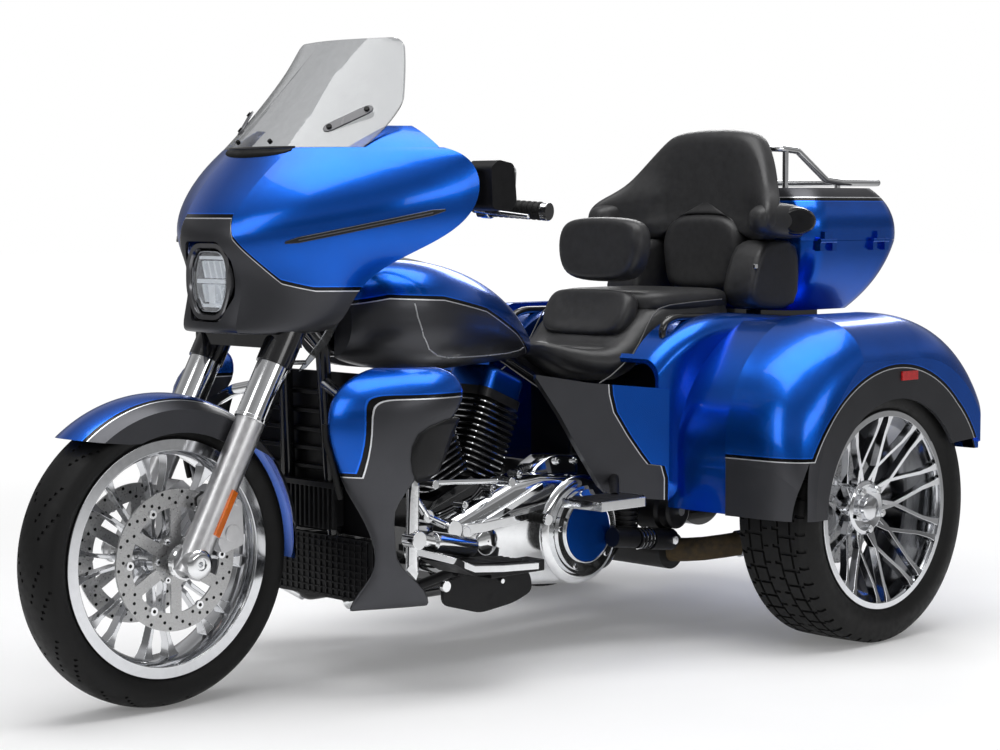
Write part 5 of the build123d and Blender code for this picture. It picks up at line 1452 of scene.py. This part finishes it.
@dataclass(frozen=True)
class Bodywork:
    """Dressing of the painted panels: leg shells and doors, cooler, tank lines and the trunk door."""

    door_lift: float = 3.0
    cooler_fins: int = 15
    nuts: int = 5
    nut_circle: float = 51.0
    tank_line: tuple[tuple[float, float], ...] = (
        (452.0, 842.0), (446.0, 812.0), (430.0, 770.0), (404.0, 738.0), (372.0, 722.0), (330.0, 715.0),
        (200.0, 712.0), (90.0, 712.0), (34.0, 716.0), (12.0, 722.0),
    )

    def leg_y(self, x: float, z: float) -> float:
        """Y of the left leg fairing's outer face.

        Args:
            x: Place along the trike.
            z: Height.

        Returns:
            The place across.
        """
        values = []
        for height, *row in LEG_ROWS:
            middle, r = arc_through(*row)
            reach = max(0.0, r * r - (x - middle.x) ** 2)
            values.append((height, middle.y + math.sqrt(reach)))
        for (z0, y0), (z1, y1) in zip(values, values[1:]):
            if z <= z1:
                t = max(0.0, (z - z0) / (z1 - z0))
                return y0 + (y1 - y0) * t
        return values[-1][1]

    def leg_shells(self) -> None:
        """Leg fairings: wide at the knee, drawn in at the shin behind the wheel, and flared at the foot."""
        form = Form()
        rows = []
        for z, front, middle, rear in LEG_ROWS:
            centre, r = arc_through(front, middle, rear)
            turns = [math.atan2(py - centre.y, px - centre.x) for px, py in (front, middle, rear)]
            for k in (1, 2):
                turns[k] += math.tau * round((turns[k - 1] - turns[k]) / math.tau)
            spread = [turns[0] + (turns[2] - turns[0]) * k / 15 for k in range(16)]
            rows.append([(centre.x + r * math.cos(t), centre.y + r * math.sin(t), z) for t in spread])
        form.skin(rows, closed=False)
        form.both_sides()
        nodes = ("leg_fairings",)
        form.place("leg_shells", PAINT_LEG, Body.CHASSIS, "paint_charcoal", nodes, smooth=1, wall=10.0)

    def leg_doors(self) -> None:
        """Black doors set in the outer rear of the leg fairings, and rubber strips on the front edges."""
        form = Form()
        rows = []
        for z, front, rear in DOOR_ROWS:
            xs = [front + (rear - front) * k / 7 for k in range(8)]
            rows.append([(x, self.leg_y(x, z) + self.door_lift, z) for x in xs])
        form.skin(rows, closed=False)
        form.both_sides()
        form.place("leg_doors", PLASTIC, Body.CHASSIS, "black_plastic", ("leg_boxes",), wall=26.0)
        strip = Form()
        edge = [(778, 263, 600), (776, 262, 566), (764, 264, 530), (746, 267, 460), (740, 268, 440)]
        strip.tube(edge, 6.5, 10)
        strip.both_sides()
        strip.place("edge_strips", RUBBER, Body.CHASSIS, "black_plastic")

    def cooler(self) -> None:
        """Upright fins before the cooler and a fine mesh over the grille."""
        form = Form()
        for i in range(self.cooler_fins):
            y = -112 + 16 * i
            form.block((622, y - 3, 346), (634, y + 3, 440))
        form.block((616, -120, 438), (636, 120, 450))
        form.place("cooler_fins", FIN, Body.CHASSIS, "fins", bevel=1.0)
        mesh = Form()
        for k in range(9):
            mesh.block((617, -236 + 4 * k, 196 + 15 * k), (619, 236 - 4 * k, 199 + 15 * k))
        for k in range(24):
            y = -230 + 20 * k
            low = 196 if abs(y) < 150 else 196 + (abs(y) - 150) * 0.5
            mesh.block((617, y - 1.5, low), (619, y + 1.5, 326))
        mesh.place("grille_mesh", PLASTIC, Body.CHASSIS, "black_plastic")
        shroud = Form()
        corners = [(-240, 330), (240, 330), (262, 470), (250, 640)]
        corners += [(200, 690), (-200, 690), (-250, 640), (-262, 470)]
        shroud.skin([[(x, y, z) for y, z in rounded(corners, 30)] for x in (574, 584)])
        for k in range(5):
            shroud.block((582, -210, 470 + 42 * k), (600, 210, 480 + 42 * k))
        shroud.place("engine_shroud", PLASTIC, Body.CHASSIS, "black_plastic", bevel=2.0)

    def tank(self) -> None:
        """Silver line on each side of the tank, laid on its surface, and the filler cap."""
        tree = surface_of("fuel_tank")
        points = []
        for (x0, z0), (x1, z1) in zip(self.tank_line, self.tank_line[1:]):
            for k in range(6):
                t = k / 6
                start = Vector((x0 + (x1 - x0) * t, 400.0, z0 + (z1 - z0) * t)) * MM
                hit = tree.ray_cast(start, Vector((0, -1, 0)))[0]
                if hit is not None:
                    points.append(hit / MM)
        form = Form()
        if len(points) > 2:
            form.tube(points, 1.7, 8)
        form.both_sides()
        form.place("tank_lines", SILVER_LINE, Body.CHASSIS, "paint_charcoal")
        cap = Form()
        cap.cylinder((372, 0, 930), (372, 0, 952), 38, 40)
        cap.cylinder((372, 0, 952), (372, 0, 956), 30, 40)
        cap.place("filler_cap", CHROME, Body.CHASSIS, "chrome", bevel=2.5)

    def rear(self) -> None:
        """Handle, plate holder, lock and lamps on the trunk door."""
        form = Form()
        form.block((-1196, -120, 470), (-1182, 120, 596))
        form.place("plate_holder", PLASTIC, Body.TRUNK_DOOR, "black_plastic", bevel=4.0)
        form = Form()
        bow = [(-1182, -96, 630), (-1200, -86, 634), (-1202, 0, 636), (-1200, 86, 634), (-1182, 96, 630)]
        form.tube(bow, 8, 16)
        form.cylinder((-1182, 0, 436), (-1192, 0, 436), 18, 24)
        form.place("trunk_handle", CHROME, Body.TRUNK_DOOR, "chrome", bevel=1.0)
        form = Form()
        for side in (-1, 1):
            form.block((-1192, side * 212 - 54, 500), (-1182, side * 212 + 54, 560))
        form.place("trunk_lamps", RED_LENS, Body.TRUNK_DOOR, "red_lens", bevel=4.0)

    def lug_nuts(self, side: Side) -> None:
        """Nuts round a rear hub.

        Args:
            side: Side of the trike.
        """
        nuts = Form()
        sign = side.value
        y = sign * (REAR_Y + 40)
        for i in range(self.nuts):
            turn = math.tau * (i + 0.5) / self.nuts
            x, z = REAR_X + self.nut_circle * math.sin(turn), REAR_Z + self.nut_circle * math.cos(turn)
            nuts.cylinder((x, y, z), (x, y + sign * 15, z), 10.5, 6)
            nuts.cylinder((x, y + sign * 14, z), (x, y + sign * 18, z), 6.5, 12)
        nuts.place(f"lug_nuts_{side.label}", CHROME, side.wheel, "polished_rim", bevel=1.0)

    def build(self) -> None:
        """All body dressing."""
        self.leg_shells()
        self.leg_doors()
        self.cooler()
        self.tank()
        self.rear()
        for side in Side:
            self.lug_nuts(side)


# Saddle by x: half width, underside and top
SADDLE_ROWS = (
    (-60.0, 58.0, 694.0, 740.0), (-120.0, 124.0, 648.0, 720.0), (-200.0, 172.0, 624.0, 710.0),
    (-266.0, 188.0, 632.0, 730.0), (-326.0, 189.0, 692.0, 820.0), (-440.0, 189.0, 718.0, 834.0),
    (-580.0, 189.0, 732.0, 834.0), (-668.0, 182.0, 746.0, 826.0),
)
# Pads: half of the outline (across, along), origin, thickness and lean
SEAT_PADS = (
    Pad(
        "rider_cushion", ((0, 0), (56, 4), (104, 62), (140, 132), (146, 190), (120, 210), (0, 214)),
        (-64, 0, 690), 34, 92, dish=6,
    ),
    Pad(
        "rider_bolster", ((0, 0), (112, 2), (142, 24), (148, 76), (140, 116), (108, 130), (0, 132)),
        (-296, 0, 716), 52, 27, wrap=22, flat=70, dish=6,
    ),
    Pad(
        "passenger_cushion", ((0, 0), (128, 4), (174, 34), (186, 120), (184, 300), (146, 350), (0, 356)),
        (-322, 0, 792), 58, 90, dish=6,
    ),
    Pad(
        "rider_pad", ((0, 0), (92, 2), (134, 30), (148, 92), (138, 138), (104, 160), (0, 164)),
        (-376, 0, 866), 60, 4, wrap=6, flat=60, dish=3, replaces=("rider_backrest",),
    ),
    Pad(
        "back_rest",
        (
            (0, 74), (100, 72), (138, 34), (152, 6), (204, 4), (270, 14), (308, 26), (318, 62), (306, 98),
            (276, 124), (242, 154), (206, 212), (158, 276), (120, 298), (0, 304),
        ),
        (-812, 0, 956), 86, 3, wrap=140, flat=150, dish=10, replaces=("passenger_backrest",),
    ),
    Pad(
        "back_lower", ((0, 0), (108, 0), (124, 40), (138, 112), (138, 156), (98, 204), (0, 206)),
        (-788, 0, 830), 84, 3, dish=6,
    ),
)
# Arm pod by x: inner and outer y, lowest and highest z
POD_ROWS = (
    (-818.0, 224.0, 292.0, 974.0, 1056.0), (-760.0, 228.0, 306.0, 974.0, 1064.0),
    (-690.0, 232.0, 314.0, 976.0, 1068.0), (-630.0, 240.0, 312.0, 984.0, 1062.0),
    (-604.0, 256.0, 304.0, 1000.0, 1046.0),
)


def soft_box(half_u: float, half_v: float, corner: float) -> list[tuple[float, float]]:
    """Rounded rectangle about the origin, with three points at each corner."""
    u, v = half_u, half_v
    return rounded([(-u, -v), (u, -v), (u, v), (-u, v)], corner, 2)


@dataclass(frozen=True)
class Seats:
    """Saddle, both backrests, the arm pods with their speakers, the pockets and the grab loops."""

    piping: tuple[tuple[float, float], ...] = (
        (-588.0, 822.0), (-480.0, 818.0), (-390.0, 813.0), (-350.0, 805.0), (-324.0, 786.0), (-306.0, 762.0),
        (-280.0, 724.0), (-254.0, 695.0), (-216.0, 670.0), (-180.0, 648.0), (-144.0, 632.0),
    )
    loop: tuple[tuple[float, float], ...] = (
        (-526.0, 782.0), (-470.0, 786.0), (-330.0, 788.0), (-292.0, 778.0), (-280.0, 752.0), (-290.0, 728.0),
        (-320.0, 720.0), (-400.0, 720.0), (-462.0, 742.0),
    )

    def base(self) -> None:
        """Lower part of the saddle and the grey piping on its flanks."""
        form = Form()
        rows = []
        for x, half, low, high in SADDLE_ROWS:
            middle = (low + high) / 2
            corner = 0.45 * (high - low)
            rows.append([(x, u, middle + v) for u, v in soft_box(half, (high - low) / 2, corner)])
        form.skin(rows)
        piece = form.place("seat_base", LEATHER, Body.CHASSIS, "leather", ("saddle",), smooth=1)
        line = Form()
        line.tube([(x, 188.5 - 0.0007 * max(0.0, x + 240) ** 2, z) for x, z in self.piping], 1.8, 8)
        line.both_sides()
        line.place("seat_piping", PIPING, Body.CHASSIS, "leather")

    def pods(self) -> None:
        """Arm pods beside the backrest, with an oval speaker on each outer face."""
        form = Form()
        rows = []
        for x, y0, y1, z0, z1 in POD_ROWS:
            box = soft_box((y1 - y0) / 2, (z1 - z0) / 2, 0.36 * (y1 - y0))
            rows.append([(x, (y0 + y1) / 2 + u, (z0 + z1) / 2 + v) for u, v in box])
        form.skin(rows)
        form.both_sides()
        form.place("arm_pods", LEATHER, Body.CHASSIS, "black_plastic", ("speaker_pods",), smooth=1)
        speakers = (("pod_rings", GLOSS_BLACK, 1.0, 0.0), ("pod_grilles", PLASTIC, 0.86, 4.0))
        for name, finish, scale, lift in speakers:
            cover = Form()
            ring = []
            for k in range(36):
                t = math.tau * k / 36
                ring.append((70 * scale * math.cos(t), 36 * scale * math.sin(t)))
            layers = ((1.0, -16 + lift), (1.0, -3 + lift), (0.9, 2 + lift), (0.5, 3 + lift))
            rows = [[(-742 + u * m, 308 + at - 0.10 * u, 1020 + v * m) for u, v in ring] for m, at in layers]
            cover.skin(rows)
            cover.both_sides()
            cover.place(name, finish, Body.CHASSIS, "black_plastic")

    def pockets(self) -> None:
        """Soft pouches between the backrest and the rear body, with a zip on each."""
        form = Form()
        outline = [(-612, 800), (-700, 794), (-822, 790), (-822, 880)]
        outline += [(-822, 972), (-740, 972), (-676, 972), (-640, 890)]
        rows = []
        for y, k in ((150, 0.94), (156, 1.0), (250, 1.0), (256, 0.94), (257, 0.6)):
            rows.append([(-722 + (x + 722) * k, y, 884 + (z - 884) * k) for x, z in outline])
        form.skin(rows)
        form.both_sides()
        piece = form.place("pouches", LEATHER, Body.CHASSIS, "leather", ("map_pockets",), smooth=1)
        pull = Form()
        pull.block((-652, 246, 900), (-640, 254, 912))
        pull.both_sides()
        pull.place("zip_pulls", CHROME, Body.CHASSIS, "chrome", bevel=1.5)

    def loops(self) -> None:
        """Black grab loops beside the passenger's seat."""
        form = Form()
        dense = rounded(self.loop, 18.0)
        form.tube([(x, 262, z) for x, z in dense + dense[:1]], 10.0, 14, caps=False)
        form.both_sides()
        form.place("grab_loops", GLOSS_BLACK, Body.CHASSIS, "black_metal", ("grab_handles",))

    def build(self) -> None:
        """All seats."""
        self.base()
        for pad in SEAT_PADS:
            pad.build()
        self.pods()
        self.pockets()
        self.loops()


Light = tuple[str, Point, tuple[float, float], float]


@dataclass(frozen=True)
class Studio:
    """White studio: floor, soft lights and the camera at the photo's place, in metres, degrees and watts.

    The belt gives the brightness of the surroundings by height, and the lights their name, place, size and
    power. Mirrored is the share of the white surroundings that polished surfaces show.
    """

    floor_half: float = 40.0
    fade: tuple[float, float] = (1.3, 4.0)
    floor_glow: tuple[float, float] = (0.16, 0.84)
    mirrored: float = 0.12
    belt: tuple[tuple[float, float], ...] = (
        (0.0, 0.22), (0.06, 0.03), (0.22, 0.05), (0.34, 0.36), (0.62, 0.14), (0.85, 0.55),
    )
    lights: tuple[Light, ...] = (
        ("top", (0.2, 0.4, 4.6), (5.2, 3.2), 178.0),
        ("front", (4.6, 0.2, 2.4), (1.2, 2.6), 26.0),
        ("side", (0.2, 5.2, 2.2), (3.6, 0.9), 30.0),
        ("back", (-4.0, -2.6, 3.2), (3.0, 1.6), 70.0),
    )
    target: Point = (0.0, 0.0, 0.6)
    eye: Point = (3.77584, 3.88709, 1.05362)
    yaw: float = 225.924
    pitch: float = -4.261
    lens: float = 80.82

    def floor(self) -> None:
        """Pale floor under the wheels."""
        bm = bmesh.new()
        bmesh.ops.create_grid(bm, x_segments=1, y_segments=1, size=self.floor_half)
        mesh = bpy.data.meshes.new("floor")
        bm.to_mesh(mesh)
        bm.free()
        ground = bpy.data.objects.new("floor", mesh)
        bpy.context.scene.collection.objects.link(ground)
        graph = Graph("floor")
        tone = graph.ramp(graph.noise(3.0), [(0.3, (0.80, 0.80, 0.80)), (0.7, (0.82, 0.82, 0.82))])
        square = graph.math("MULTIPLY_ADD", graph.x, graph.x, graph.math("MULTIPLY", graph.y, graph.y))
        away = graph.math("SQRT", square)
        far = graph.remap(away, *self.fade, 0.0, 1.0)
        shade = graph.mix(far, tone, (0.0, 0.0, 0.0, 1.0))
        graph.set(Base_Color=shade, Roughness=0.6, Specular_IOR_Level=0.1)
        path = graph.add("ShaderNodeLightPath").outputs
        direct = graph.math("ADD", path["Is Camera Ray"], path["Is Transmission Ray"])
        seen = graph.math("MULTIPLY_ADD", path["Is Glossy Ray"], self.mirrored, direct)
        near, added = self.floor_glow
        strength = graph.math("MULTIPLY_ADD", far, graph.remap(seen, 0.0, 1.0, 0.0, added), near)
        graph.set(Emission_Color=(1.0, 1.0, 1.0, 1.0), Emission_Strength=strength)
        mesh.materials.append(graph.material)

    def softbox(self, name: str, place: Point, size: tuple[float, float], power: float) -> None:
        """Rectangular light aimed at the middle of the object.

        Args:
            name: Name of the light.
            place: Its place.
            size: Width and height.
            power: Its power.
        """
        data = bpy.data.lights.new(name, "AREA")
        data.shape = "RECTANGLE"
        data.size, data.size_y = size
        data.energy = power
        lamp = bpy.data.objects.new(name, data)
        lamp.location = place
        aim = Vector(self.target) - Vector(place)
        lamp.rotation_euler = aim.to_track_quat("-Z", "Y").to_euler()
        bpy.context.scene.collection.objects.link(lamp)

    def world(self) -> None:
        """Bright surroundings with a darker belt, so that polished metal has something to show."""
        world = bpy.data.worlds.new("studio")
        world.use_nodes = True
        tree = world.node_tree
        tree.nodes.clear()
        coords = tree.nodes.new("ShaderNodeTexCoord")
        split = tree.nodes.new("ShaderNodeSeparateXYZ")
        ramp = tree.nodes.new("ShaderNodeValToRGB")
        while len(ramp.color_ramp.elements) < len(self.belt):
            ramp.color_ramp.elements.new(1.0)
        for element, (position, tone) in zip(ramp.color_ramp.elements, self.belt):
            element.position = position
            element.color = (tone, tone, tone * 1.02, 1.0)
        path = tree.nodes.new("ShaderNodeLightPath")
        direct = tree.nodes.new("ShaderNodeMath")
        direct.operation = "ADD"
        seen = tree.nodes.new("ShaderNodeMath")
        seen.operation = "MULTIPLY_ADD"
        seen.inputs[1].default_value = self.mirrored
        mix = tree.nodes.new("ShaderNodeMix")
        mix.data_type = "RGBA"
        mix.inputs[7].default_value = (1.0, 1.0, 1.0, 1.0)
        back = tree.nodes.new("ShaderNodeBackground")
        out = tree.nodes.new("ShaderNodeOutputWorld")
        tree.links.new(coords.outputs["Generated"], split.inputs[0])
        tree.links.new(split.outputs[2], ramp.inputs[0])
        tree.links.new(path.outputs["Is Camera Ray"], direct.inputs[0])
        tree.links.new(path.outputs["Is Transmission Ray"], direct.inputs[1])
        tree.links.new(path.outputs["Is Glossy Ray"], seen.inputs[0])
        tree.links.new(direct.outputs[0], seen.inputs[2])
        tree.links.new(seen.outputs[0], mix.inputs[0])
        tree.links.new(ramp.outputs[0], mix.inputs[6])
        tree.links.new(mix.outputs[2], back.inputs[0])
        tree.links.new(back.outputs[0], out.inputs[0])
        back.inputs[1].default_value = 1.0
        bpy.context.scene.world = world

    def camera(self) -> None:
        """Camera at the photo's place and angle."""
        data = bpy.data.cameras.new("camera")
        data.sensor_width = 36.0
        data.lens = self.lens
        data.clip_end = 200.0
        camera = bpy.data.objects.new("camera", data)
        yaw, pitch = math.radians(self.yaw), math.radians(self.pitch)
        aim = Vector((math.cos(pitch) * math.cos(yaw), math.cos(pitch) * math.sin(yaw), math.sin(pitch)))
        camera.location = self.eye
        camera.rotation_euler = aim.to_track_quat("-Z", "Y").to_euler()
        bpy.context.scene.collection.objects.link(camera)
        bpy.context.scene.camera = camera

    def build(self) -> None:
        """Whole studio."""
        scene = bpy.context.scene
        scene.view_settings.view_transform = "Standard"
        scene.view_settings.look = "None"
        self.floor()
        self.world()
        for light in self.lights:
            self.softbox(*light)
        self.camera()


def dress_frame() -> None:
    """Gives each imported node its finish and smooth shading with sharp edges."""
    for name, node in frame["nodes"].items():
        finish = CAD_FINISH.get(name)
        if finish is None:
            LOG.warning("no finish for %s", name)
            finish = PLASTIC
        node.data.materials.clear()
        node.data.materials.append(finish.material())
        node.data.shade_smooth()
        node.data.set_sharp_from_angle(angle=math.radians(32))


def main() -> None:
    """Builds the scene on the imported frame."""
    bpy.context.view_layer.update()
    dress_frame()
    Wheels().build()
    Seats().build()
    FrontEnd().build()
    Cockpit().build()
    Engine().build()
    Bodywork().build()
    Studio().build()
    for piece in bpy.context.scene.objects:
        if piece.type == "MESH" and piece.name not in frame["nodes"]:
            LOG.info("%s has %d faces", piece.name, len(piece.data.polygons))


if __name__ == "__main__":
    main()
